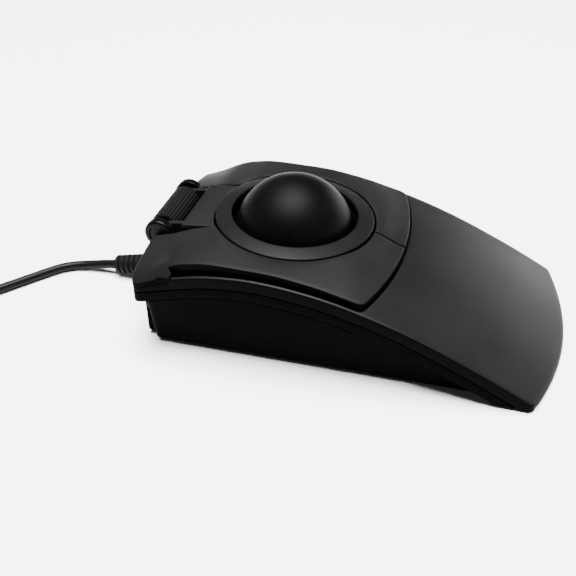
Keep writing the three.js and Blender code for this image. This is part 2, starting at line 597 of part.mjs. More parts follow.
// Plug pieces are made along +X from the end of the cord, then turned into place.
function placed(solid) {
  return solid.rotate([0, 0, PLUG.turn]).translate([...PLUG.start, PLUG.z]);
}
const rounded = (length, width, height, radius, x) => toSolid(
  new RoundedBoxGeometry(length, width, height, 2, radius).translate(x + length / 2, 0, 0));
function plugShell() {
  const { length, width, height, wall } = SHELL;
  const [w, h] = [width / 2, height / 2];
  return box(PLUG.boot + GAP, PLUG.boot + GAP + length, -w, w, -h, h)
    .subtract(box(PLUG.boot + 2, PLUG.boot + 40, -w + wall, w - wall, -h + wall, h - wall));
}
const plugTongue = () => box(PLUG.boot + 2.4, PLUG.boot + 18.4, -SHELL.width / 2 + 0.7,
  SHELL.width / 2 - 0.7, -0.1, 1.5);
const plugBoot = () => rounded(PLUG.boot, PLUG.width, PLUG.thick, 2.6, 0)
  .add(toSolid(new THREE.CylinderGeometry(3.2, 3.8, 6, 16).rotateZ(Math.PI / 2)
    .translate(-1.5, 0, 0)));

// ---------------------------------------------------------------- the assembly
const finish = (color, roughness, metalness = 0) =>
  new THREE.MeshStandardMaterial({ color, roughness, metalness });
const CHARCOAL = finish(0x2b2b2c, 0.55);
const BLACK = finish(0x161617, 0.6);
const BALL = finish(0x101011, 0.35);
const RUBBER = finish(0x121212, 0.85);
const STEEL = finish(0xb9bcc0, 0.3, 1);
const BOARD = finish(0x1f4a2c, 0.6);
const WHITE = finish(0xd8d8d4, 0.5);
const CHIP = finish(0x1b1b1d, 0.5);
const LENS = finish(0xcfd6d8, 0.1);

const mouse = new THREE.Group();
function add(name, solid, material) {
  const mesh = new THREE.Mesh(toGeometry(solid), material);
  mesh.name = name;
  mouse.add(mesh);
}

add('top_cover', topCover(), CHARCOAL);
add('bottom_housing', bottomHousing(), BLACK);
add('right_button', rightButton(), CHARCOAL);
add('left_button', rightButton().mirror([1, 0, 0]), CHARCOAL);
add('middle_button', middleButton(), CHARCOAL);
add('bezel_ring', bezelRing(), BLACK);
add('trackball', bead([0, BALL_Y, BALL_Z], BALL_RADIUS, 26), BALL);
add('ball_cup', ballCup(), BLACK);
Object.keys(BEARING_TURNS).forEach((place, i) => {
  add(`bearing_ball_${place}`, bead(bearingCentres()[i], BEARING_RADIUS, 8), STEEL);
});
add('inner_deck', deck(), BLACK);
DECK_POSTS.forEach(([x, y], i) => {
  add(`deck_screw_${i + 1}`, screw(x, y, DECK_TOP + GAP, DECK_TOP + 2.2, 20), STEEL);
});
SCREW_PLACES.forEach(([x, y], i) => {
  add(`housing_screw_${i + 1}`, screw(x, y, 1.6, 3.4, 12.5), STEEL);
});
add('circuit_board', circuitBoard(), BOARD);
add('optical_sensor', box(-5, 5, BALL_Y - 4.6, BALL_Y + 4.6, 6.1, 8.1), CHIP);
add('sensor_lens', post(0, BALL_Y, 8.4, 11, 5, 24), LENS);
add('controller_chip', box(-6, 6, -6, 6, 6.1, 7.4), CHIP);
add('cable_connector', box(-6, 6, 64, 70, 6.1, 11), WHITE);
for (const [name, place] of Object.entries(SWITCH_PLACES)) {
  add(`${name}_switch`, microSwitch(place), CHIP);
  add(`${name}_plunger`, plunger(place), WHITE);
}
add('roller_core', rollerCore(), BLACK);
add('roller_sleeve', rollerSleeve(), RUBBER);
add('roller_cap_left', rollerCap(-1), BLACK);
add('roller_cap_right', rollerCap(1), BLACK);
add('roller_axle', rollerAxle(), STEEL);
FEET.forEach(([x, y], i) => {
  add(`rubber_foot_${i + 1}`, post(x, y, 0, FLOOR_Z - GAP, FOOT_RADIUS, 20), RUBBER);
});
add('cable_gland', cableGland(), RUBBER);
add('inner_cable', tube(INNER_ROUTE, 4, 6, 8), RUBBER);
add('cord_run', tube(CORD_ROUTE, CORD_DIAMETER, 10), RUBBER);
add('cord_coil', coilRing(), RUBBER);
add('cord_tail', tube(TAIL_ROUTE, CORD_DIAMETER, 5), RUBBER);
add('cord_tie', cordTie(), RUBBER);
add('plug_boot', placed(plugBoot()), RUBBER);
add('plug_shell', placed(plugShell()), STEEL);
add('plug_tongue', placed(plugTongue()), WHITE);

export default mouse;
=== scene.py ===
"""The looks of the trackball mouse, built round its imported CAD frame.

Lengths are in millimetres until an object is made. +Z is up, +Y runs from the palm to the cord.
"""
import math

import bmesh
import bpy
import numpy as np
from mathutils import Matrix, Vector
from mathutils.geometry import delaunay_2d_cdt


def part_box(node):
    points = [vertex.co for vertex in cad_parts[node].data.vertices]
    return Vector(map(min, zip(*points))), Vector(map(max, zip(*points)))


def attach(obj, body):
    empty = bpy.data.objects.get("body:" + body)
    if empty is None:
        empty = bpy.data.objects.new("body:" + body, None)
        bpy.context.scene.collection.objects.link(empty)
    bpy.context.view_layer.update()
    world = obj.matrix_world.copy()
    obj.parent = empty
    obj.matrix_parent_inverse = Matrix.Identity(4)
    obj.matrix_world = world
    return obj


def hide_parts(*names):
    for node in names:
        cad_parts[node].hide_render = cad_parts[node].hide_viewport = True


MM = 0.001
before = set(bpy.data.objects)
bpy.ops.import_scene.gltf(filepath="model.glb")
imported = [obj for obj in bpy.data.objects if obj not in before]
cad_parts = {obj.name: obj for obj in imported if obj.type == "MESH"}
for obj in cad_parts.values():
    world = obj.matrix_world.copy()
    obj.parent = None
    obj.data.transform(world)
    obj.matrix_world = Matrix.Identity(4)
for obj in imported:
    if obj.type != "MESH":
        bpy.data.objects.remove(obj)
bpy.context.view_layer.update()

# ---------------------------------------------------------------- driving dimensions
HALF_WIDTH = 54.2
FRONT_Y = 95.2
FRONT_CORNER = 5
PALM_Y = -99.3
ARC_RADIUS = 145
BAND_HEIGHT = 5.7
FLANGE_HEIGHT = 5.2
PALM_CROWN = 3.2
SHELL_WALL = 1.6
PARTING_GAP = 0.3

BALL_RADIUS = 28.575
BALL_CENTRE = (0, 32.1, 41)

RING_Y = 31.5
RING_INNER = 30
RING_OUTER = 37.7
RING_INNER_Z = 52.5
RING_OUTER_Z = 50.5
RING_SLOPE = 0.065
RING_GROOVE = 0.9
RING_PROUD = 0.9  # how far it stands above the plates at the palm end

PLATE_HALF = 50.5
PLATE_REAR = -21.8
PLATE_STEP = 2.2
PLATE_THICK = 3.8
LIP_THICK = 2  # where the wings reach out over the side band
LIP_Y = 74.2
PLATE_POWER = 2.5
RING_BLEND = 5
REAR_BLEND = 13
WELL_HALF = 52.6
WELL_DEPTH = 4.2
WELL_FLOOR = 1.2
WING_Y = 76.4
SHOULDER = 49  # where the wings start to drop to the side
CORNER_DROP = 1.4  # how far their front corners dip
POST_HALF = 2  # of the square posts that press the plungers
SEAM = 0.42  # half of the gap between the two plates

TONGUE_HALF = 20
TONGUE_FRONT = 82
TONGUE_FRONT_Z = 49.2
TONGUE_SLOPE = -0.095
TONGUE_THICK = 2.4
SLOT_HALF = 22.9
POCKET_FLOOR = 33.6

ROLLER = (93.2, 42.8)  # y and z of its axis
ROLLER_RADIUS = 7
CAP_RADIUS = 7.4
ROLLER_HALF = 22.6
SLEEVE_HALF = 14.6
ARM_INNER = 15.1
ARM_OUTER = 17.5
ARM_RADIUS = 4.6
AXLE_RADIUS = 1.5
CAP_BORE_END = ROLLER_HALF - 2

FLOOR_Z = 1
TUB_HALF = 48.2
TUB_DRAFT = 0.223
TUB_FRONT = 88.4
TUB_REAR = -82
NOSE_HALF = 43.5
NOSE_FRONT = 94
NOSE_TOP = 27

CORD_DIAMETER = 4.8
PATH_STEP = 1.5
GLAND_START = (95.4, 11.5)
GLAND_TIP = (130, 5.6)
COIL_CENTRE = (-36, 235)
COIL_BOTTOM_TURNS = (37.6, 32.8, 28, 23.2, 18.4)
COIL_TOP_TURNS = (20.8, 25.6, 30.4, 35.2)
COIL_BOTTOM_Z = 3.7
COIL_TOP_Z = 7.9
PLUG_START = (2, 268.8, 3.9)
PLUG_TURN = -24.5

# The cord's free stretches, from the gland's tip to the coil and from the coil to the plug.
CORD_ROUTE = [
    (0, 130.4, 5.5), (-0.1, 136, 4.6), (-0.4, 142, 3.6), (-1.2, 148, 2.8), (-2.8, 153.6, 2.5),
    (-6, 159, 2.5), (-11.4, 164.4, 2.5), (-18, 169.9, 2.5), (-25.2, 175.8, 2.5),
    (-33, 182.3, 2.5), (-41.5, 189.6, 2.5), (-45.4, 193.1, 2.7),
]
TAIL_ROUTE = [
    (-30, 277.5, 6.6), (-23.4, 277.3, 5.3), (-16.5, 276.2, 4.4), (-9.6, 274, 3.9),
    (-2.4, 270.8, 3.9),
]


# ---------------------------------------------------------------- height lines
def ease(t):
    """A smooth step from 0 to 1."""
    t = np.clip(t, 0, 1)
    return t * t * (3 - 2 * t)


def mix(a, b, t):
    return a + (b - a) * t


def line(points):
    """A smooth function through (y, z) points, with each inner point's mean slope."""
    y, z = np.array(points, float).T
    last = len(y) - 1
    ahead = np.minimum(np.arange(last + 1) + 1, last)
    behind = np.maximum(np.arange(last + 1) - 1, 0)
    slope = (z[ahead] - z[behind]) / (y[ahead] - y[behind])

    def height(at):
        at = np.asarray(at, float)
        i = np.clip(np.searchsorted(y, at) - 1, 0, last - 1)
        span = y[i + 1] - y[i]
        t = (at - y[i]) / span
        s = np.clip(t, 0, 1)
        inside = (z[i] * (1 + 2 * s) * (1 - s) ** 2 + slope[i] * span * s * (1 - s) ** 2
                  + z[i + 1] * s * s * (3 - 2 * s) + slope[i + 1] * span * s * s * (s - 1))
        return inside + np.where(t < 0, slope[i] * t * span, 0) \
            + np.where(t > 1, slope[i + 1] * (t - 1) * span, 0)

    return height


edge = line([(-99.3, -1.4), (-87.6, 5.1), (-69.6, 14.8), (-43.4, 27.2), (-21, 35.8), (4.8, 43),
             (33.4, 46.7), (56.7, 45.6), (75.2, 41.7), (94.4, 36.6)])
plate_centre = line([(-22.6, 40.6), (-7.6, 47), (3.4, 49.5), (33.4, 52), (58.4, 52.5),
                     (69.4, 50.6), (76.4, 49), (85.4, 46.2), (94.4, 44.2)])
plate_side = line([(-22.6, 38.1), (-12.6, 40.3), (-4.6, 42.3), (6.4, 45.4), (15.4, 47.3),
                   (27.4, 49.2), (42.4, 49.8), (58.4, 49.9), (69.4, 48.1), (76.4, 46.3),
                   (85.4, 41.2), (94.4, 37)])


def arc_y(x, middle):
    return middle + ARC_RADIUS - np.sqrt(ARC_RADIUS ** 2 - np.asarray(x, float) ** 2)


def skin(x, y):
    """The palm shell's top."""
    return edge(y) + PALM_CROWN * (1 - (x / HALF_WIDTH) ** 2)


def parting(x, y):
    """The line where the shell meets the bottom housing."""
    slope = (edge(y + 1) - edge(y - 1)) / 2
    return np.maximum(0.6, edge(y) - BAND_HEIGHT * np.hypot(1, slope))


def plate(x, y):
    """The top of the button plates and of the wings ahead of them."""
    u = np.minimum(1, np.abs(x) / HALF_WIDTH)
    z = mix(plate_centre(y), plate_side(y), u ** PLATE_POWER)
    from_ring = np.hypot(x, y - RING_Y) - RING_OUTER
    proud = RING_PROUD * ease((4 - y) / 10)
    ring_z = RING_OUTER_Z + RING_SLOPE * (y - RING_Y) - proud
    z = mix(z, ring_z, (1 - ease(from_ring / RING_BLEND)) * (1 - ease((y - 58) / 10)))
    z = mix(skin(x, y) + PLATE_STEP, z, ease((y - arc_y(x, PLATE_REAR)) / REAR_BLEND))
    shoulder = np.clip((np.abs(x) - SHOULDER) / (HALF_WIDTH - SHOULDER), 0, 1) ** 1.35
    corner = CORNER_DROP * ease((y - 80) / 15)
    return mix(z, edge(y) + 0.2 - corner, shoulder * ease((y - WING_Y + 6) / 6))


def plate_under(x, y):
    thin = np.maximum(ease((np.abs(x) - 51.6) / 0.4), ease((y - 92.2) / 0.4))
    return plate(x, y) - mix(PLATE_THICK, LIP_THICK, thin)


def tongue_top(x, y):
    return TONGUE_FRONT_Z + TONGUE_SLOPE * (y - TONGUE_FRONT)


def level(z):
    return lambda x, y: np.full(np.shape(x), float(z))


def lowered(height, drop):
    return lambda x, y: height(x, y) - drop


# ---------------------------------------------------------------- outlines
ARC_STEP = math.radians(12)


def soften(corners, closed=True):
    """The points of a polygon of (u, v, radius) corners, each corner rounded to its radius."""
    count = len(corners)
    points = []
    for i, (u, v, radius) in enumerate(corners):
        here = np.array((u, v), float)
        if radius == 0 or (not closed and i in (0, count - 1)):
            points.append(here)
            continue
        back = np.array(corners[i - 1][:2], float) - here
        ahead = np.array(corners[(i + 1) % count][:2], float) - here
        back, ahead = back / np.hypot(*back), ahead / np.hypot(*ahead)
        half = math.acos(np.clip(back @ ahead, -1, 1)) / 2
        centre = here + (back + ahead) / np.hypot(*(back + ahead)) * radius / math.sin(half)
        start = here + back * radius / math.tan(half) - centre
        turn = math.pi - 2 * half
        sign = math.copysign(1, back[1] * ahead[0] - back[0] * ahead[1])
        steps = max(2, math.ceil(turn / ARC_STEP))
        for k in range(steps + 1):
            c, s = math.cos(sign * turn * k / steps), math.sin(sign * turn * k / steps)
            points.append(centre + (c * start[0] - s * start[1], s * start[0] + c * start[1]))
    return np.array(points)


def densify(loop, step):
    """The same closed loop with no side longer than step."""
    points = []
    for a, b in zip(loop, np.roll(loop, -1, axis=0)):
        count = max(1, math.ceil(np.hypot(*(b - a)) / step))
        points += [a + (b - a) * k / count for k in range(count)]
    return np.array(points)


def inset(loop, distance):
    """A counter-clockwise loop moved inwards, by one distance or by one for each point."""
    into = loop - np.roll(loop, 1, axis=0)
    out = np.roll(loop, -1, axis=0) - loop
    normals = []
    for side in (into, out):
        unit = side / np.hypot(*side.T)[:, None]
        normals.append(np.stack([-unit[:, 1], unit[:, 0]], axis=1))
    both = normals[0] + normals[1]
    scale = np.reshape(distance, (-1, 1)) / (1 + (normals[0] * normals[1]).sum(1))[:, None]
    return loop + scale * both


def arc(centre, radius, start, end, step=3):
    """Points along an arc, from and to angles in degrees, about step millimetres apart."""
    count = max(2, math.ceil(abs(math.radians(end - start)) * radius / step))
    turns = np.radians(np.linspace(start, end, count + 1))
    return [(centre[0] + radius * math.cos(t), centre[1] + radius * math.sin(t)) for t in turns]


def plain(points):
    return [(x, y, 0) for x, y in points]


def arc_sides(half, rear, corner, front, front_corner):
    """A plan outline with an arched rear edge, straight sides and a straight front."""
    reach = math.degrees(math.asin((half - corner * 1.1) / ARC_RADIUS))
    rear_arc = arc((0, rear + ARC_RADIUS), ARC_RADIUS, -90 - reach, -90 + reach)
    corner_y = float(arc_y(half, rear))
    return densify(soften([*plain(rear_arc), (half, corner_y, corner), (half, front, front_corner),
                           (-half, front, front_corner), (-half, corner_y, corner)]), 2.2)


def inside(points, loops):
    """Which points lie inside an odd number of the loops."""
    odd = np.zeros(len(points), bool)
    x, y = points[:, 0][:, None], points[:, 1][:, None]
    for loop in loops:
        (x0, y0), (x1, y1) = loop.T, np.roll(loop, -1, axis=0).T
        crosses = (y0 > y) != (y1 > y)
        rise = np.where(y1 == y0, 1, y1 - y0)
        odd ^= (crosses & (x < (x1 - x0) * (y - y0) / rise + x0)).sum(1) % 2 == 1
    return odd


# ---------------------------------------------------------------- forms
SLIVER = 2e-4  # mm2


class Form:
    """Points in millimetres and faces, gathered until they become an object."""

    def __init__(self):
        self.points = []
        self.faces = []

    def add(self, points):
        start = len(self.points)
        self.points += [tuple(map(float, p)) for p in points]
        return list(range(start, len(self.points)))

    def ring(self, loop, height):
        z = height(loop[:, 0], loop[:, 1]) if callable(height) else np.full(len(loop), height)
        return self.add(np.column_stack([loop, z]))

    def bands(self, rings):
        """Quads from each ring to the next."""
        for a, b in zip(rings, rings[1:]):
            for i in range(len(a)):
                j = (i + 1) % len(a)
                self.faces.append((a[i], a[j], b[j], b[i]))

    def cap(self, rings, height, spacing, extra=()):
        """A smooth skin between rings: the outer one, then any holes in it."""
        loops = [np.array([self.points[i][:2] for i in ring]) for ring in rings]
        flat = np.concatenate(loops)
        low, high = flat.min(0), flat.max(0)
        xs = np.arange(low[0] + spacing / 2, high[0], spacing)
        ys = np.arange(low[1] + spacing / 2, high[1], spacing)
        grid = np.stack(np.meshgrid(xs, ys), -1).reshape(-1, 2)
        grid = np.concatenate([grid, np.array(extra, float).reshape(-1, 2)])
        grid = grid[inside(grid, loops)]
        near = np.array([np.hypot(*(flat - p).T).min() for p in grid]) if len(grid) else []
        grid = grid[np.array(near) > spacing * 0.4] if len(grid) else grid
        sides, start = [], 0
        for loop in loops:
            sides += [(start + i, start + (i + 1) % len(loop)) for i in range(len(loop))]
            start += len(loop)
        points = [Vector(p) for p in np.concatenate([flat, grid])]
        made, _, faces, source, _, _ = delaunay_2d_cdt(points, sides, [], 0, 1e-6)
        known = [i for ring in rings for i in ring]
        new = {}
        for i, point in enumerate(made):
            origin = [s for s in source[i] if s < len(flat)]
            if origin:
                new[i] = known[origin[0]]
            else:
                z = height(np.array([point[0]]), np.array([point[1]]))[0]
                new[i] = self.add([(point[0], point[1], z)])[0]
        corners = np.array([[made[i] for i in face] for face in faces])
        first, second = corners[:, 1] - corners[:, 0], corners[:, 2] - corners[:, 0]
        area = np.abs(first[:, 0] * second[:, 1] - first[:, 1] * second[:, 0]) / 2
        # A triangle of three points in a line would stand on edge and spoil the shading.
        for face, keep in zip(faces, inside(corners.mean(axis=1), loops) & (area > SLIVER)):
            if keep:
                self.faces.append(tuple(new[i] for i in face))

    def join(self, other, matrix=None):
        start = len(self.points)
        points = other.points
        if matrix is not None:
            points = [tuple(matrix @ Vector(p)) for p in points]
        self.points += points
        self.faces += [tuple(i + start for i in face) for face in other.faces]
        return self


EDGE_STEPS = 4


def edge_rings(form, loop, height, radius, side=1):
    """Rings round an edge, from the flat face outwards and down to the wall."""
    rings = []
    if callable(radius):
        radius = radius(loop[:, 0], loop[:, 1])
    for k in range(EDGE_STEPS + 1):
        turn = math.pi / 2 * (1 - k / EDGE_STEPS)
        moved = inset(loop, side * radius * (1 - math.cos(turn)))
        rings.append(form.ring(moved, lowered(height, radius * (1 - math.sin(turn)))))
    return rings


def panel(outline, top, bottom, radius=0.5, under=0.3, spacing=3, holes=()):
    """A closed plate with rounded top edges. Its holes go right through."""
    form = Form()
    upper, lower = [], []
    for loop, side in [(outline, 1), *[(hole, -1) for hole in holes]]:
        rings = edge_rings(form, loop, top, radius, side)
        rings.append(form.ring(loop, lowered(bottom, -under)))
        rings.append(form.ring(inset(loop, side * under), bottom))
        form.bands(rings)
        upper.append(rings[0])
        lower.append(rings[-1])
    form.cap(upper, top, spacing)
    form.cap(lower, bottom, spacing * 2)
    return form


def lathe(profile, segments=96, closed=True):
    """A profile of (radius, z) points turned about the z axis."""
    form = Form()
    turns = np.linspace(0, 2 * math.pi, segments, endpoint=False)
    rings = []
    for radius, z in profile:
        if radius < 1e-6:
            rings.append(form.add([(0, 0, z)]) * segments)
        else:
            rings.append(form.add([(radius * math.cos(t), radius * math.sin(t), z)
                                   for t in turns]))
    form.bands([*rings, rings[0]] if closed else rings)
    form.faces = [face for face in (tuple(dict.fromkeys(f)) for f in form.faces) if len(face) > 2]
    return form


def block(x, y, z, radius=0.4):
    """A box between pairs of limits, with softened edges."""
    spacing = 8
    outline = densify(soften([(x[0], y[0], radius), (x[1], y[0], radius), (x[1], y[1], radius),
                              (x[0], y[1], radius)]), spacing)
    return panel(outline, level(z[1]), level(z[0]), radius, radius, spacing)


ALONG_X = Matrix(((0, 0, 1, 0), (1, 0, 0, 0), (0, 1, 0, 0), (0, 0, 0, 1)))  # local z becomes +X


def shift(x, y, z):
    return Matrix.Translation((x, y, z))


def make(name, form, material, body, nodes, sharp=32):
    """Turns a form into an object that stands for CAD nodes and rides on their body."""
    mesh = bpy.data.meshes.new(name)
    mesh.from_pydata([tuple(c * MM for c in p) for p in form.points], [], form.faces)
    shape = bmesh.new()
    shape.from_mesh(mesh)
    bmesh.ops.remove_doubles(shape, verts=shape.verts, dist=1e-7)
    bmesh.ops.dissolve_degenerate(shape, edges=shape.edges, dist=1e-7)
    bmesh.ops.recalc_face_normals(shape, faces=shape.faces)
    shape.to_mesh(mesh)
    shape.free()
    mesh.shade_smooth()
    mesh.set_sharp_from_angle(angle=math.radians(sharp))
    mesh.materials.append(material)
    piece = bpy.data.objects.new(name, mesh)
    bpy.context.scene.collection.objects.link(piece)
    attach(piece, body)
    if nodes:
        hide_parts(*nodes)
    return piece


STEEP = 0.55  # the upward share of a normal, below which a face counts as a side


def shade_flanks(piece):
    """Gives a piece's steep faces a darker, less glossy copy of its plastic: painted shade on the
    sides.
    """
    piece.data.materials.append(SIDE_SHADE)
    for face in piece.data.polygons:
        if face.normal.z < STEEP:
            face.material_index = 1
    return piece


# ---------------------------------------------------------------- camera, floor and light
CAMERA_PLACE = Vector((-362.5, -76.3, 276.3)) * MM
CAMERA_TURN = -72.788  # degrees about +Z, where 0 looks along +Y
CAMERA_RISE = 35.368
CAMERA_ROLL = -1.469
CAMERA_LENS = 57.74


def camera():
    turn, rise, roll = (math.radians(v) for v in (CAMERA_TURN, CAMERA_RISE, CAMERA_ROLL))
    back = Vector((math.sin(turn) * math.cos(rise), -math.cos(turn) * math.cos(rise),
                   math.sin(rise)))
    right = Vector((math.cos(turn), math.sin(turn), 0))
    up = back.cross(right)
    right, up = (math.cos(roll) * right + math.sin(roll) * up,
                 math.cos(roll) * up - math.sin(roll) * right)
    data = bpy.data.cameras.new("camera")
    data.lens, data.sensor_width = CAMERA_LENS, 36
    data.clip_start, data.clip_end = 0.01, 20
    view = bpy.data.objects.new("camera", data)
    bpy.context.scene.collection.objects.link(view)
    view.matrix_world = Matrix.Translation(CAMERA_PLACE) @ Matrix(
        (right, up, back)).transposed().to_4x4()
    bpy.context.scene.camera = view


def area_light(name, place, target, size, power):
    data = bpy.data.lights.new(name, "AREA")
    data.shape, data.energy = "RECTANGLE", power
    data.size, data.size_y = size
    lamp = bpy.data.objects.new(name, data)
    bpy.context.scene.collection.objects.link(lamp)
    lamp.location = place
    lamp.rotation_mode = "QUATERNION"
    lamp.rotation_quaternion = (Vector(target) - Vector(place)).to_track_quat("-Z", "Y")


SWEEP_LIGHT = 8
CEILING_LIGHT = 0.35
SWEEP_START, SWEEP_END = 0.02, 0.55  # heights on the unit sphere between which one fades


def studio():
    mesh = bpy.data.meshes.new("floor")
    reach = 6
    mesh.from_pydata([(-reach, -reach, 0), (reach, -reach, 0), (reach, reach, 0),
                      (-reach, reach, 0)], [], [(0, 1, 2, 3)])
    floor = bpy.data.objects.new("floor", mesh)
    bpy.context.scene.collection.objects.link(floor)
    paper = bpy.data.materials.new("studio_paper")
    paper.use_nodes = True
    shader = paper.node_tree.nodes["Principled BSDF"]
    shader.inputs["Base Color"].default_value = (0.93, 0.93, 0.93, 1)
    shader.inputs["Roughness"].default_value = 0.9
    shader.inputs["Specular IOR Level"].default_value = 0.1
    mesh.materials.append(paper)

    # A bright sweep low down all round, and a dimmer ceiling over it.
    world = bpy.data.worlds.new("studio")
    bpy.context.scene.world = world
    world.use_nodes = True
    tree = world.node_tree
    toward = tree.nodes.new("ShaderNodeTexCoord").outputs["Generated"]
    parts = tree.nodes.new("ShaderNodeSeparateXYZ")
    tree.links.new(toward, parts.inputs["Vector"])
    fade = tree.nodes.new("ShaderNodeMapRange")
    fade.interpolation_type = "SMOOTHSTEP"
    fade.inputs["From Min"].default_value = SWEEP_START
    fade.inputs["From Max"].default_value = SWEEP_END
    fade.inputs["To Min"].default_value = SWEEP_LIGHT
    fade.inputs["To Max"].default_value = CEILING_LIGHT
    tree.links.new(parts.outputs["Z"], fade.inputs["Value"])
    tree.links.new(fade.outputs["Result"], tree.nodes["Background"].inputs["Strength"])
    area_light("overhead", (0.05, 0.1, 1.8), (0, 0, 0), (1.3, 1.3), 270)
    area_light("beyond_the_palm", (1.2, -0.75, 0.22), (0.02, -0.04, 0.05), (0.8, 0.25), 8)


camera()
studio()


# ---------------------------------------------------------------- materials
def nodes_of(material):
    material.use_nodes = True
    tree = material.node_tree
    return tree, tree.nodes["Principled BSDF"]


def noise(tree, place, scale, detail):
    node = tree.nodes.new("ShaderNodeTexNoise")
    node.inputs["Scale"].default_value = scale
    node.inputs["Detail"].default_value = detail
    node.inputs["Roughness"].default_value = 0.55
    tree.links.new(place, node.inputs["Vector"])
    return node.outputs["Fac"]


def spread(tree, value, low, high, start=0.3, end=0.7):
    """A texture's value mapped onto a range."""
    node = tree.nodes.new("ShaderNodeMapRange")
    node.inputs["From Min"].default_value = start
    node.inputs["From Max"].default_value = end
    node.inputs["To Min"].default_value = low
    node.inputs["To Max"].default_value = high
    tree.links.new(value, node.inputs["Value"])
    return node.outputs["Result"]


def tint(tree, share, dark, light):
    node = tree.nodes.new("ShaderNodeMix")
    node.data_type = "RGBA"
    node.inputs[6].default_value = (*dark, 1)
    node.inputs[7].default_value = (*light, 1)
    tree.links.new(share, node.inputs[0])
    return node.outputs[2]


def moulded(name, dark, light, roughness, grain=0.35, depth=0.012, specular=0.5, metallic=0,
            edge_highlight=0.0):
    """Moulded plastic, rubber or metal: fine grain in relief, and broad changes in its gloss.

    dark and light are the colour's two ends, grain the texture's size and depth its height in
    millimetres, and edge_highlight how much lighter the colour is painted on sharp convex edges, a
    painted highlight.
    """
    material = bpy.data.materials.new(name)
    tree, shader = nodes_of(material)
    shader.inputs["Specular IOR Level"].default_value = specular
    shader.inputs["Metallic"].default_value = metallic
    place = tree.nodes.new("ShaderNodeTexCoord").outputs["Object"]
    broad = noise(tree, place, 22, 4)
    fine = noise(tree, place, 1 / (grain * MM), 2)
    share = spread(tree, broad, 0, 1)
    gloss = spread(tree, broad, roughness * 0.88, roughness * 1.12)
    # Painted highlight: sharp convex edges are pushed towards the lighter colour.
    if edge_highlight:
        bend = tree.nodes.new("ShaderNodeNewGeometry").outputs["Pointiness"]
        edge_light = spread(tree, bend, 0, edge_highlight, 0.52, 0.62)
        add = tree.nodes.new("ShaderNodeMath")
        add.operation = "ADD"
        add.use_clamp = True
        tree.links.new(share, add.inputs[0])
        tree.links.new(edge_light, add.inputs[1])
        share = add.outputs[0]
    tree.links.new(tint(tree, share, dark, light), shader.inputs["Base Color"])
    tree.links.new(gloss, shader.inputs["Roughness"])
    bump = tree.nodes.new("ShaderNodeBump")
    bump.inputs["Strength"].default_value = 1
    bump.inputs["Distance"].default_value = depth * MM
    tree.links.new(fine, bump.inputs["Height"])
    tree.links.new(bump.outputs["Normal"], shader.inputs["Normal"])
    return material


SHELL = moulded("shell_plastic", (0.003, 0.003, 0.0031), (0.0046, 0.0046, 0.0048), 0.42, 0.5,
                0.04, 0.06, edge_highlight=0.8)
PLATES = moulded("plate_plastic", (0.0034, 0.0034, 0.0035), (0.0052, 0.0052, 0.0055), 0.46,
                 0.45, 0.05, 0.05, edge_highlight=0.8)
# A darker, less glossy copy of the plastic for steep sides: painted shade.
SIDE_SHADE = moulded("side_plastic_painted_shade", (0.0006, 0.0006, 0.0006), (0.0012, 0.0012, 0.0012), 0.5, 0.5,
                0.03, 0.01)
BASE = moulded("base_plastic", (0.0004, 0.0004, 0.0004), (0.0008, 0.0008, 0.0008), 0.6, 0.5, 0.02,
               0.006)
RING = moulded("ring_plastic", (0.0028, 0.0028, 0.0029), (0.0044, 0.0044, 0.0046), 0.4, 0.35,
               0.03, 0.035, edge_highlight=0.8)
BALL = moulded("ball_resin", (0.0005, 0.0005, 0.0006), (0.0015, 0.0015, 0.0017), 0.5, 1.1,
               0.01, 0.03)
RUBBER = moulded("roller_rubber", (0.002, 0.002, 0.002), (0.0034, 0.0034, 0.0034), 0.6, 0.3,
                 0.03, 0.05)
CAP = moulded("cap_plastic", (0.0005, 0.0005, 0.0006), (0.0012, 0.0012, 0.0014), 0.3, 0.4,
              0.01, 0.05, edge_highlight=0.5)
JACKET = moulded("cord_jacket", (0.001, 0.001, 0.001), (0.002, 0.002, 0.002), 0.4, 0.5, 0.04,
                 0.07)
FOOT = moulded("foot_rubber", (0.006, 0.006, 0.006), (0.01, 0.01, 0.01), 0.8, 0.3, 0.04, 0.05)
STEEL = moulded("plated_steel", (0.5, 0.5, 0.51), (0.62, 0.62, 0.63), 0.26, 0.8, 0.004, 0.5, 1)
BOARD = moulded("solder_mask", (0.012, 0.07, 0.028), (0.02, 0.11, 0.045), 0.4, 1.2, 0.02)
CHIP = moulded("chip_epoxy", (0.015, 0.015, 0.016), (0.024, 0.024, 0.026), 0.55, 0.2, 0.01)
NYLON = moulded("white_nylon", (0.55, 0.55, 0.52), (0.68, 0.68, 0.65), 0.45, 0.5, 0.01)


def clear_plastic():
    material = moulded("clear_lens", (0.85, 0.9, 0.9), (0.9, 0.94, 0.94), 0.08, 1, 0.001)
    material.node_tree.nodes["Principled BSDF"].inputs["Transmission Weight"].default_value = 0.9
    return material


LENS = clear_plastic()


# ---------------------------------------------------------------- the cord, its gland and plug
def gland_axis():
    """Where the gland starts, and its direction, in the y-z plane."""
    start, tip = Vector((0, *GLAND_START)), Vector((0, *GLAND_TIP))
    return start, tip - start


def spun(points, centre, z, radii, start):
    """Turns of a coil, clockwise from above, each a circle that eases into the next."""
    change = math.radians(80)
    for turn, radius in enumerate(radii):
        after = radii[turn + 1] if turn + 1 < len(radii) else radius
        count = 40
        for k in range(count):
            angle = 2 * math.pi * k / count
            left = 2 * math.pi - angle
            share = float(ease(1 - left / change)) if left < change else 0
            r = mix(radius, after, share)
            at = start - angle
            points.append((centre[0] + r * math.cos(at), centre[1] + r * math.sin(at), z))
    return points


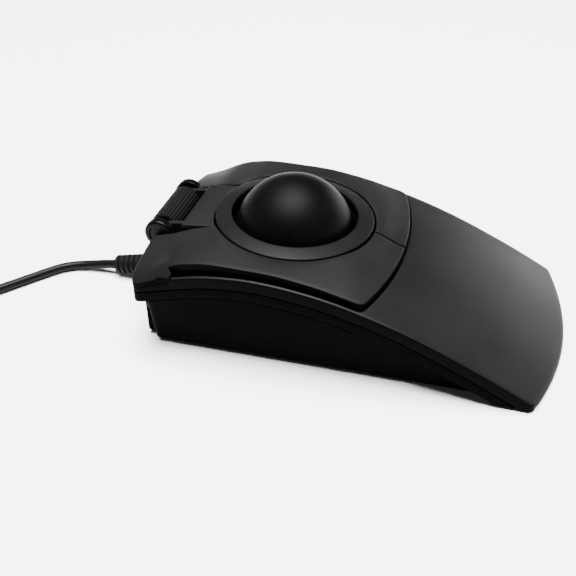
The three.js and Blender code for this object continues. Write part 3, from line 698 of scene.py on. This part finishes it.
def cord_points():
    """The cord's centreline: through the gland, along the floor, round the coil and to the plug."""
    start, along = gland_axis()
    points = [tuple(start + along * k / 4) for k in range(4)]
    points += CORD_ROUTE
    enter = math.radians(225)
    outer = COIL_BOTTOM_TURNS[0]
    reach = (COIL_CENTRE[0] + outer * math.cos(enter), COIL_CENTRE[1] + outer * math.sin(enter))
    last = CORD_ROUTE[-1]
    points += [tuple(mix(a, b, t) for a, b in zip(last, (*reach, COIL_BOTTOM_Z)))
               for t in (0.35, 0.68)]
    spun(points, COIL_CENTRE, COIL_BOTTOM_Z, COIL_BOTTOM_TURNS, enter)
    lift = math.radians(50)
    bottom_inner, top_inner = COIL_BOTTOM_TURNS[-1], COIL_TOP_TURNS[0]
    for k in range(7):
        t = k / 7
        at = enter - lift * t
        r = mix(bottom_inner, top_inner, float(ease(t)))
        z = mix(COIL_BOTTOM_Z, COIL_TOP_Z, float(ease(t)))
        points.append((COIL_CENTRE[0] + r * math.cos(at), COIL_CENTRE[1] + r * math.sin(at), z))
    spun(points, COIL_CENTRE, COIL_TOP_Z, COIL_TOP_TURNS, enter - lift)
    turned = enter - lift
    leave = math.radians(106)
    outer = COIL_TOP_TURNS[-1]
    sweep = (turned - leave) % (2 * math.pi)
    for k in range(8):
        t = k / 8
        at = turned - sweep * t
        r = mix(outer, 40, float(ease(max(0, t - 0.3) / 0.7)))
        z = mix(COIL_TOP_Z, 7.6, t)
        points.append((COIL_CENTRE[0] + r * math.cos(at), COIL_CENTRE[1] + r * math.sin(at), z))
    x, y, z = (mix(a, b, 0.5) for a, b in zip(points[-1], TAIL_ROUTE[0]))
    return [*points, (x, y + 0.6, z), *TAIL_ROUTE]


def smooth_path(points):
    """A Catmull-Rom line through the points, resampled about every PATH_STEP millimetres."""
    points = np.array([points[0], *points, points[-1]], float)
    points[0] = 2 * points[1] - points[2]
    points[-1] = 2 * points[-2] - points[-3]
    made = []
    for p0, p1, p2, p3 in zip(points, points[1:], points[2:], points[3:]):
        count = max(1, round(float(np.linalg.norm(p2 - p1)) / PATH_STEP))
        for t in np.arange(count) / count:
            made.append(0.5 * (2 * p1 + (p2 - p0) * t + (2 * p0 - 5 * p1 + 4 * p2 - p3) * t ** 2
                               + (3 * p1 - p0 - 3 * p2 + p3) * t ** 3))
    return np.array([*made, points[-2]])


def cord():
    path = smooth_path(cord_points())
    data = bpy.data.curves.new("cord", "CURVE")
    data.dimensions = "3D"
    data.bevel_depth = CORD_DIAMETER / 2 * MM
    data.bevel_resolution = 6
    data.use_fill_caps = True
    spline = data.splines.new("POLY")
    spline.points.add(len(path) - 1)
    spline.points.foreach_set("co", np.column_stack([path * MM, np.ones(len(path))]).ravel())
    data.materials.append(JACKET)
    piece = bpy.data.objects.new("cord", data)
    bpy.context.scene.collection.objects.link(piece)
    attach(piece, "base")
    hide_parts("cord_run", "cord_coil", "cord_tail")
    return piece


def gland():
    """A ribbed rubber sleeve that thins towards its tip."""
    start, along = gland_axis()
    length = along.length
    ribs = 10
    first = 4.6
    pitch = (length - first - 0.6) / ribs
    corners = [(0, -6.4, 0), (6, -6.4, 0.3), (6, -5.2, 0.3), (3.6, -5.2, 0), (3.6, 0, 0),
               (6.2, 0, 0.3), (6.2, first - 0.4, 0.4)]
    for i in range(ribs):
        at = first + i * pitch
        radius = mix(6, 4.9, i / (ribs - 1))
        root = radius - 1.1
        corners += [(root, at - 0.1, 0.15), (root, at + 0.8, 0.15), (radius, at + 1, 0.3),
                    (radius, at + pitch - 0.15, 0.4)]
    corners += [(3.1, length, 0.4), (2.5, length - 0.2, 0), (0, length - 0.4, 0)]
    form = lathe(soften(corners, closed=False), 40, closed=False)
    tilt = Matrix(along.to_track_quat("Z", "Y").to_matrix().to_4x4())
    turned = Form().join(form, Matrix.Translation(start) @ tilt)
    return make("strain_relief", turned, RUBBER, "base", ["cable_gland"])


def coil_tie():
    """A strap round the coil's turns."""
    x, y = COIL_CENTRE
    low, high = x + 14.9, x + 41.1
    outer = soften([(low, 0.1, 3.4), (high, 0.1, 3.4), (high, 12, 4.4), (low, 12, 4.4)])
    form = panel(outer, level(3), level(-3), 0.25, 0.25, 20, [inset(outer, 0.8)])
    stand = Matrix.Translation((0, y, 0)) @ Matrix.Rotation(math.pi / 2, 4, "X")
    return make("coil_strap", Form().join(form, stand), FOOT, "base", ["cord_tie"])


def section(x, half_width, half_height, squareness, sides=48):
    """A rounded section across the plug, from a circle at 2 to nearly a rectangle at 6."""
    turns = np.linspace(0, 2 * math.pi, sides, endpoint=False)
    c, s = np.cos(turns), np.sin(turns)
    power = 2 / squareness
    return np.column_stack([np.full(sides, x), half_width * np.sign(c) * np.abs(c) ** power,
                            half_height * np.sign(s) * np.abs(s) ** power])


def plug():
    """A USB plug: a ribbed boot, a folded steel shell, and a tongue with four contacts."""
    place = Matrix.Translation(PLUG_START) @ Matrix.Rotation(math.radians(PLUG_TURN), 4, "Z")
    boot = Form()
    sections = [(-4.4, 2.4, 2.4, 2), (-4.4, 3.1, 3.1, 2), (-3.9, 3.4, 3.4, 2)]
    for i in range(3):
        at = -2.9 + i * 2
        sections += [(at, 3.5, 3.5, 2), (at + 0.2, 2.9, 2.9, 2), (at + 0.9, 2.9, 2.9, 2),
                     (at + 1.1, 3.6, 3.6, 2)]
    sections += [(3.6, 4.4, 3.5, 2.6), (5.4, 5.8, 3.65, 4), (7, 6.4, 3.7, 5)]
    for i in range(6):
        at = 8 + i * 1.7
        sections += [(at, 6.5, 3.72, 5), (at + 0.25, 6.25, 3.4, 5), (at + 0.85, 6.25, 3.4, 5),
                     (at + 1.1, 6.55, 3.74, 5)]
    sections += [(19, 6.7, 3.76, 5.5), (25.1, 6.7, 3.76, 5.5), (25.7, 6.5, 3.6, 5.5),
                 (26, 6.1, 3.2, 5.5)]
    rings = [boot.add(section(*s)) for s in sections]
    boot.bands(rings)
    boot.faces += [tuple(rings[0]), tuple(rings[-1])]
    body = make("plug_grip", Form().join(boot, place), FOOT, "base", ["plug_boot"],
                50)

    start, end = 26.3, 45.3
    half_width, half_height, wall = 6, 2.25, 0.35
    tube = Form()
    windows = [densify(soften([(x, y, 0.2), (x + 2, y, 0.2), (x + 2, y + 2.4, 0.2),
                               (x, y + 2.4, 0.2)]), 3) for x, y in [(36.5, 1.1), (36.5, -3.5)]]
    sheet = densify(soften([(start, -half_width, 0.2), (end, -half_width, 0.2),
                            (end, half_width, 0.2), (start, half_width, 0.2)]), 3)
    for low in (-half_height, half_height - wall):
        tube.join(panel(sheet, level(low + wall), level(low), 0.1, 0.1, 3, windows))
    for side in (-1, 1):
        limits = sorted([side * (half_width - wall), side * half_width])
        tube.join(block((start, end), limits, (-half_height + 0.02, half_height - 0.02), 0.1))
    shell = make("plug_steel_shell", Form().join(tube, place), STEEL, "base", ["plug_shell"])
    bar = block((28.4, 44.3), (-5.2, 5.2), (-0.1, 1.4), 0.2)
    tongue = make("plug_contact_bar", Form().join(bar, place), NYLON, "base", ["plug_tongue"])
    strips = Form()
    for y in (-3.5, -1, 1, 3.5):
        strips.join(block((29.5, 43.4), (y - 0.5, y + 0.5), (-0.25, -0.08), 0.05))
    contacts = make("plug_contacts", Form().join(strips, place), STEEL, "base", [])
    return [body, shell, tongue, contacts]


flex = cord()
gland()
coil_tie()
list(plug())


# ---------------------------------------------------------------- the palm shell
SHELL_EDGE = 1
WELL_FRONT = FRONT_Y - 2.2
STEP = 0.3  # length over which the rails drop under the wings
STEPS = (SLOT_HALF + 0.5, SLOT_HALF + 0.2)


def well_floor(x, y):
    pocket = ease((y - 80) / 4) * ease((24.5 - np.abs(x)) / 1)
    return skin(x, y) - WELL_DEPTH - 2.2 * pocket


def cover_top(x, y):
    under_lip = plate(x, y) - LIP_THICK - PARTING_GAP
    z = mix(skin(x, y), under_lip, ease((y - LIP_Y + STEP) / STEP))
    slot = ease((SLOT_HALF + 0.5 - np.abs(x)) / 0.3) * (y > WELL_FRONT - 1)
    return mix(z, POCKET_FLOOR, slot)


def ceiling(x, y):
    deep = ease((y - arc_y(x, PLATE_REAR) + 10) / 5)
    return mix(skin(x, y) - SHELL_WALL, well_floor(x, y) - WELL_FLOOR, deep)


def stepped(half, rear, corner, front, front_corner):
    """A plan outline with points wherever the height steps, at the lips and at the slot."""
    reach = math.degrees(math.asin((half - corner * 1.1) / ARC_RADIUS))
    rear_arc = arc((0, rear + ARC_RADIUS), ARC_RADIUS, -90 - reach, -90 + reach)
    corner_y = float(arc_y(half, rear))
    right = [(half, corner_y, corner), (half, LIP_Y - STEP, 0), (half, LIP_Y, 0),
             (half, front, front_corner), *((x, front, 0) for x in STEPS)]
    left = [(-x, y, radius) for x, y, radius in right[::-1]]
    return densify(soften([*plain(rear_arc), *right, *left]), 2)


def palm_shell():
    form = Form()
    outline = stepped(HALF_WIDTH, PALM_Y, 3.2, FRONT_Y, FRONT_CORNER)
    well = stepped(WELL_HALF, PLATE_REAR - 0.95, 4.2, WELL_FRONT, 4)
    hole = arc_sides(42, -12, 3, 81.3, 3)  # the buttons' posts reach down through it
    rings = edge_rings(form, outline, cover_top, SHELL_EDGE)
    rings.append(form.ring(outline, lowered(parting, -0.35)))
    rings.append(form.ring(inset(outline, 0.35), parting))
    rings.append(form.ring(inset(outline, SHELL_WALL), parting))
    rings.append(form.ring(inset(outline, SHELL_WALL), ceiling))
    form.bands(rings)
    rim = edge_rings(form, well, cover_top, 0.35, -1)
    rim.append(form.ring(well, lowered(well_floor, -0.3)))
    rim.append(form.ring(inset(well, 0.3), well_floor))
    form.bands(rim)
    mouth = [form.ring(hole, well_floor), form.ring(hole, ceiling)]
    form.bands(mouth)
    form.cap([rings[0], rim[0]], cover_top, 2.4)
    form.cap([rim[-1], mouth[0]], well_floor, 4)
    form.cap([rings[-1], mouth[1]], ceiling, 4)
    return shade_flanks(make("palm_shell", form, SHELL, "base", ["top_cover"]))


palm_shell()


# ---------------------------------------------------------------- the bottom housing
def round_end(half, rear, front, rear_corner, front_corner):
    """A rounded rectangle with the same number of points whatever its size."""
    sides = 70
    points = []
    for k in range(7):
        t = math.radians(-90 + 15 * k)
        points.append((half - rear_corner * (1 - math.cos(t)),
                       rear + rear_corner * (1 + math.sin(t))))
    for k in range(1, sides):
        points.append((half, mix(rear + rear_corner, front - front_corner, k / sides)))
    for k in range(7):
        t = math.radians(15 * k)
        points.append((half - front_corner * (1 - math.cos(t)),
                       front - front_corner * (1 - math.sin(t))))
    across = [(x, front) for x in np.linspace(half - front_corner, 0, 12)[1:-1]]
    right = [*points, *across]
    left = [(-x, y) for x, y in right[::-1]]
    middle = [(0, front)]
    end = [(x, rear) for x in np.linspace(-half + rear_corner, half - rear_corner, 14)[1:-1]]
    return np.array([*right, *middle, *left, *end])


def housing_top(x, y):
    return parting(x, y) - PARTING_GAP


def front_curl(y, z):
    """The underside's height where it curls up to the front wall."""
    radius = 4.5
    t = np.clip((y - (TUB_FRONT - radius)) / radius, 0, 1)
    return np.maximum(z, FLOOR_Z + radius * (1 - np.sqrt(1 - t * t)))


def housing():
    form = Form()
    low_edge = 1.6

    def flange_low(x, y):
        return np.maximum(FLOOR_Z + 0.02, housing_top(x, y) - FLANGE_HEIGHT)

    def wall_half(z):
        return np.minimum(HALF_WIDTH, TUB_HALF + TUB_DRAFT * (z - FLOOR_Z))

    def tub_ring(inwards, rise):
        """A ring on the tub's wall: rise is a height above the floor, or None for its top."""
        base = round_end(TUB_HALF - inwards, TUB_REAR + inwards, TUB_FRONT - inwards, 2, 3)
        top = flange_low(base[:, 0], base[:, 1])
        z = top if rise is None else np.minimum(front_curl(base[:, 1], FLOOR_Z + rise), top)
        half = wall_half(z) - inwards
        x = base[:, 0] * half / (TUB_HALF - inwards)
        return form.add(np.column_stack([x, base[:, 1], z]))

    def flange_ring(inwards, rise):
        """A ring on the flange's face, flush with the tub's sides where they reach it."""
        loop = inset(outer, inwards)
        z = np.minimum(flange_low(*loop.T) + rise, housing_top(*loop.T) - 0.1)
        half = wall_half(z)
        flush = ease((half - 52.2) / 0.8)
        limit = mix(HALF_WIDTH - inwards, half, flush)
        return form.add(np.column_stack([np.clip(loop[:, 0], -limit, limit), loop[:, 1], z]))

    rings = [tub_ring(low_edge * (1 - math.sin(t)), low_edge * (1 - math.cos(t)))
             for t in np.radians([0, 22.5, 45, 67.5, 90])]
    rings += [tub_ring(0, rise) for rise in (6, 12, 20)]
    rings.append(tub_ring(0, None))
    outer = round_end(HALF_WIDTH, TUB_REAR, FRONT_Y, 1.5, FRONT_CORNER)
    rings.append(flange_ring(0.6, 0))
    rings.append(flange_ring(0.2, 0.2))
    rings.append(flange_ring(0, 0.6))
    rings.append(form.ring(outer, lowered(housing_top, 0.1)))
    rings.append(form.ring(inset(outer, 0.25), housing_top))
    rings.append(form.ring(inset(outer, 2), housing_top))
    inner = round_end(TUB_HALF - 2.2, TUB_REAR + 3, TUB_FRONT - 2.2, 2, 3)
    rings.append(form.ring(inner, lambda x, y: np.maximum(
        FLOOR_Z + 0.4, np.minimum(housing_top(x, y) - 0.3, FLOOR_Z + 2.2))))
    form.bands(rings)
    form.cap([rings[-1]], level(FLOOR_Z + 2.2), 9)
    wells = []
    for x, y in SCREW_PLACES:
        circle = np.array(arc((x, y), 3.4, 0, 345, 0.9))
        wells.append(form.ring(circle, FLOOR_Z))
        deep = [wells[-1], form.ring(circle, 3.8)]
        form.bands(deep)
        form.faces.append(tuple(deep[-1]))
    curl = [(x, y) for x in range(-42, 43, 6) for y in (84.4, 85.6)
            if min(math.hypot(x - a, y - b) for a, b in SCREW_PLACES) > 4]
    form.cap([rings[0], *wells], lambda x, y: front_curl(y, FLOOR_Z), 9, curl)
    form.join(block((-NOSE_HALF, NOSE_HALF), (TUB_FRONT - 1, NOSE_FRONT), (FLOOR_Z, NOSE_TOP), 1.2))
    return make("tub", form, BASE, "base", ["bottom_housing"])


SCREW_PLACES = [(sum(c) / 2 / MM, sum(d) / 2 / MM) for c, d in (
    zip(*(corner[:2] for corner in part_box(f"housing_screw_{i + 1}"))) for i in range(4))]
housing()


# ---------------------------------------------------------------- the button plates and tongue
def plate_outline():
    """The right plate round the ring, with its wing beside the roller."""
    clear = RING_OUTER + RING_GROOVE
    seam_end = -90 + math.degrees(math.asin(SEAM / ARC_RADIUS))
    corner_start = -90 + math.degrees(math.asin((PLATE_HALF - 4.6) / ARC_RADIUS))
    rear = arc((0, PLATE_REAR + ARC_RADIUS), ARC_RADIUS, seam_end, corner_start)
    inner = TONGUE_HALF + 0.4
    ring_start = math.degrees(math.acos(inner / clear))
    ring_end = -90 + math.degrees(math.asin(SEAM / clear))
    round_ring = arc((0, RING_Y), clear, ring_start - 2, ring_end + 1.5, 2)
    return densify(soften([
        (*rear[0], 0.5), *plain(rear[1:]),
        (PLATE_HALF, float(arc_y(PLATE_HALF, PLATE_REAR)), 3.6), (PLATE_HALF, WING_Y, 0.3),
        (WELL_HALF, LIP_Y, 0.2), (HALF_WIDTH, LIP_Y, 0.7), (HALF_WIDTH, FRONT_Y, FRONT_CORNER),
        (SLOT_HALF, FRONT_Y, 0.6),
        (SLOT_HALF, TONGUE_FRONT + 2, 6),
        (inner, RING_Y + math.sqrt(clear ** 2 - inner ** 2), 0.5),
        *plain(round_ring), (SEAM, RING_Y - math.sqrt(clear ** 2 - SEAM ** 2), 0.5)]), 1.8)


def wing_edge(x, y):
    """How round the plate's top edge is: most at the wing's outer side."""
    return 0.5 + 1.2 * ease((y - LIP_Y - 1.5) / 6) * ease((x - 50) / 3)


def button(side):
    form = panel(plate_outline(), plate, plate_under, wing_edge, 0.3, 2.4)
    name = "right" if side > 0 else "left"
    plunger_low, plunger_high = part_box(f"{name}_plunger")
    x, y = (plunger_low.x + plunger_high.x) / 2 / MM, (plunger_low.y + plunger_high.y) / 2 / MM
    x = abs(x)
    top = float(plate(np.array([x]), np.array([y]))[0]) - 1
    form.join(block((x - POST_HALF, x + POST_HALF), (y - POST_HALF, y + POST_HALF),
                    (plunger_high.z / MM + PARTING_GAP, top)))
    mirror = Matrix.Scale(side, 4, (1, 0, 0))
    return shade_flanks(make(f"{name}_plate", Form().join(form, mirror), PLATES, f"{name}_button",
                       [f"{name}_button"]))


def tongue():
    clear = RING_OUTER + RING_GROOVE
    turn = math.degrees(math.acos(TONGUE_HALF / clear))
    rear = arc((0, RING_Y), clear, 180 - turn - 1.5, turn + 1.5, 2)
    back_y = RING_Y + math.sqrt(clear ** 2 - TONGUE_HALF ** 2)
    outline = densify(soften([
        (TONGUE_HALF, back_y, 0.5), (TONGUE_HALF, TONGUE_FRONT, 0.8),
        (-TONGUE_HALF, TONGUE_FRONT, 0.8), (-TONGUE_HALF, back_y, 0.5), *plain(rear)]), 1.8)
    form = panel(outline, tongue_top, lowered(tongue_top, TONGUE_THICK), 0.5, 0.3, 3)
    y, z = ROLLER
    arm = np.array([(76, 44.2), *arc((y, z), ARM_RADIUS, -125, 108, 1), (83.2, 48.4), (76, 48.4)])
    for side in (-1, 1):
        low, high = sorted([side * ARM_INNER, side * ARM_OUTER])
        form.join(panel(arm, level(high), level(low), 0.3, 0.3, 3), ALONG_X)
    post_y = 78.4
    form.join(block((-POST_HALF, POST_HALF), (post_y - POST_HALF, post_y + POST_HALF),
                    (39.4, 48)))
    return make("middle_tongue", form, PLATES, "middle_button", ["middle_button"])


button(1)
button(-1)
tongue()


# ---------------------------------------------------------------- ring, ball and socket
def bezel():
    profile = soften([(RING_INNER, RING_INNER_Z, 0.8), (RING_OUTER, RING_OUTER_Z, 0.7),
                      (RING_OUTER, RING_OUTER_Z - 3, 0.3), (35.4, RING_OUTER_Z - 2.6, 0.3),
                      (35.2, 42, 0.3), (33.4, 42, 0.3), (33.2, RING_OUTER_Z - 2, 0.3),
                      (RING_INNER, RING_INNER_Z - 2.8, 0.4)])
    form = lathe([(r, z - RING_OUTER_Z) for r, z in profile], 160)
    tilt = shift(0, RING_Y, RING_OUTER_Z) @ Matrix.Rotation(math.atan(RING_SLOPE), 4, "X")
    return make("ring", Form().join(form, tilt), RING, "base", ["bezel_ring"])


def ball():
    steps = 72
    turns = np.linspace(0, math.pi, steps + 1)
    form = lathe([(BALL_RADIUS * math.sin(t), BALL_RADIUS * math.cos(t)) for t in turns], 144,
                 closed=False)
    return make("ball", Form().join(form, shift(*BALL_CENTRE)), BALL, "trackball",
                ["trackball"])


def socket():
    """The cup under the ball, open at the bottom for the sensor."""
    inner, outer, rim, flange = 29.4, 31.8, 4.4, (35, -9.2, -7.2)
    turns = np.radians(np.linspace(-75, 0, 26))
    inside_wall = [(inner * math.cos(t), inner * math.sin(t)) for t in turns]
    below = [(outer * math.cos(t), outer * math.sin(t)) for t in turns
             if outer * math.sin(t) < flange[1] - 0.4]
    top = soften([(inner, 0, 0), (inner, rim, 0.4), (outer, rim, 0.4), (outer, flange[2], 0.3),
                  (flange[0], flange[2], 0.3), (flange[0], flange[1], 0.3),
                  (outer, flange[1], 0)], closed=False)
    form = lathe([*inside_wall[:-1], *top, *below[::-1]], 96)
    return make("socket", Form().join(form, shift(*BALL_CENTRE)), BASE, "base", ["ball_cup"])


def bearings():
    """Three steel balls that carry the ball."""
    for place in ("front", "left", "right"):
        low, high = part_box(f"bearing_ball_{place}")
        centre, radius = (low + high) / 2 / MM, 1.25
        turns = np.linspace(0, math.pi, 17)
        form = lathe([(radius * math.sin(t), radius * math.cos(t)) for t in turns], 28,
                     closed=False)
        make(f"bearing_{place}", Form().join(form, shift(*centre)), STEEL, "base",
             [f"bearing_ball_{place}"])


bezel()
ball()
socket()
bearings()


# ---------------------------------------------------------------- the roller
def roller():
    along = shift(0, *ROLLER) @ ALONG_X
    ribs, samples = 26, 12
    turns = np.linspace(0, 2 * math.pi, ribs * samples, endpoint=False)
    radius = ROLLER_RADIUS - 0.55 * np.sin(turns * ribs / 2) ** 6
    outline = np.column_stack([radius * np.cos(turns), radius * np.sin(turns)])
    bore = np.array(arc((0, 0), 4.5, 0, 350, 0.8))
    form = panel(outline, level(SLEEVE_HALF), level(-SLEEVE_HALF), 0.35, 0.35, 0.9, [bore])
    make("roller_grip", Form().join(form, along), RUBBER, "roller", ["roller_sleeve"])
    core = lathe(soften([(AXLE_RADIUS + 0.3, -SLEEVE_HALF, 0.2), (4.2, -SLEEVE_HALF, 0.3),
                         (4.2, SLEEVE_HALF, 0.3), (AXLE_RADIUS + 0.3, SLEEVE_HALF, 0.2)]), 48)
    make("roller_hub", Form().join(core, along), BASE, "roller", ["roller_core"])
    pin_end = CAP_BORE_END - 0.3
    pin = lathe(soften([(0, -pin_end, 0), (AXLE_RADIUS, -pin_end, 0.3),
                        (AXLE_RADIUS, pin_end, 0.3), (0, pin_end, 0)], closed=False), 32,
                closed=False)
    make("roller_pin", Form().join(pin, along), STEEL, "roller", ["roller_axle"])
    inner = ARM_OUTER + 0.5
    cap = lathe(soften([(0, CAP_BORE_END, 0), (AXLE_RADIUS + 0.3, CAP_BORE_END, 0),
                        (AXLE_RADIUS + 0.3, inner, 0.2), (CAP_RADIUS, inner, 0.5),
                        (CAP_RADIUS, ROLLER_HALF - 0.3, 1.5), (4.8, ROLLER_HALF, 0.4),
                        (4.3, ROLLER_HALF - 0.5, 0.3), (0, ROLLER_HALF - 0.2, 0)], closed=False),
                64, closed=False)
    for name, side in (("left", -1), ("right", 1)):
        mirror = Matrix.Scale(side, 4, (1, 0, 0))
        make(f"roller_end_{name}", Form().join(cap, mirror @ along), CAP, "roller",
             [f"roller_cap_{name}"])


roller()


# ---------------------------------------------------------------- feet and screws
def feet():
    for i in range(1, 5):
        low, high = (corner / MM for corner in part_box(f"rubber_foot_{i}"))
        centre = (low + high) / 2
        radius = 6
        form = lathe(soften([(0, 0, 0), (radius, 0, 0.3), (radius, high.z, 0.1), (0, high.z, 0)],
                            closed=False), 64, closed=False)
        make(f"foot_{i}", Form().join(form, shift(centre.x, centre.y, 0)), FOOT, "base",
             [f"rubber_foot_{i}"])


def cross(reach, half):
    """The outline of a cross-shaped recess, counter-clockwise."""
    quarter = [(half, -reach), (half, -half), (reach, -half)]
    points = []
    for k in range(4):
        c, s = round(math.cos(math.pi / 2 * k)), round(math.sin(math.pi / 2 * k))
        points += [(c * x - s * y, s * x + c * y, 0.08) for x, y in quarter]
    return soften(points)


def housing_screws():
    """Screws seen from below in their wells, with cross recesses."""
    for i in range(1, 5):
        low, high = (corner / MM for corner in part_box(f"housing_screw_{i}"))
        centre = (low + high) / 2
        head = panel(np.array(arc((0, 0), 2.85, 0, 352, 0.4)), level(-low.z),
                     level(-low.z - 1.6), 0.5, 0.05, 1, [cross(1.5, 0.35)])
        head.join(lathe([(0, -low.z - 1.3), (2.5, -low.z - 1.3), (2.5, -low.z - 1.6),
                         (1.45, -low.z - 1.7), (1.45, -high.z), (0, -high.z)], 32, closed=False))
        flip = shift(centre.x, centre.y, 0) @ Matrix.Rotation(math.pi, 4, "X")
        make(f"housing_screw_head_{i}", Form().join(head, flip), STEEL, "base",
             [f"housing_screw_{i}"])


feet()
housing_screws()


# ---------------------------------------------------------------- the sealed inner pieces
INNER = {
    "inner_deck": BASE, "circuit_board": BOARD, "optical_sensor": CHIP, "controller_chip": CHIP,
    "left_switch": CHIP, "right_switch": CHIP, "middle_switch": CHIP, "sensor_lens": LENS,
    "cable_connector": NYLON, "left_plunger": NYLON, "right_plunger": NYLON,
    "middle_plunger": NYLON, "inner_cable": JACKET,
    **{f"deck_screw_{i}": STEEL for i in range(1, 5)},
}
for node, material in INNER.items():
    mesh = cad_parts[node].data
    mesh.materials.clear()
    mesh.materials.append(material)
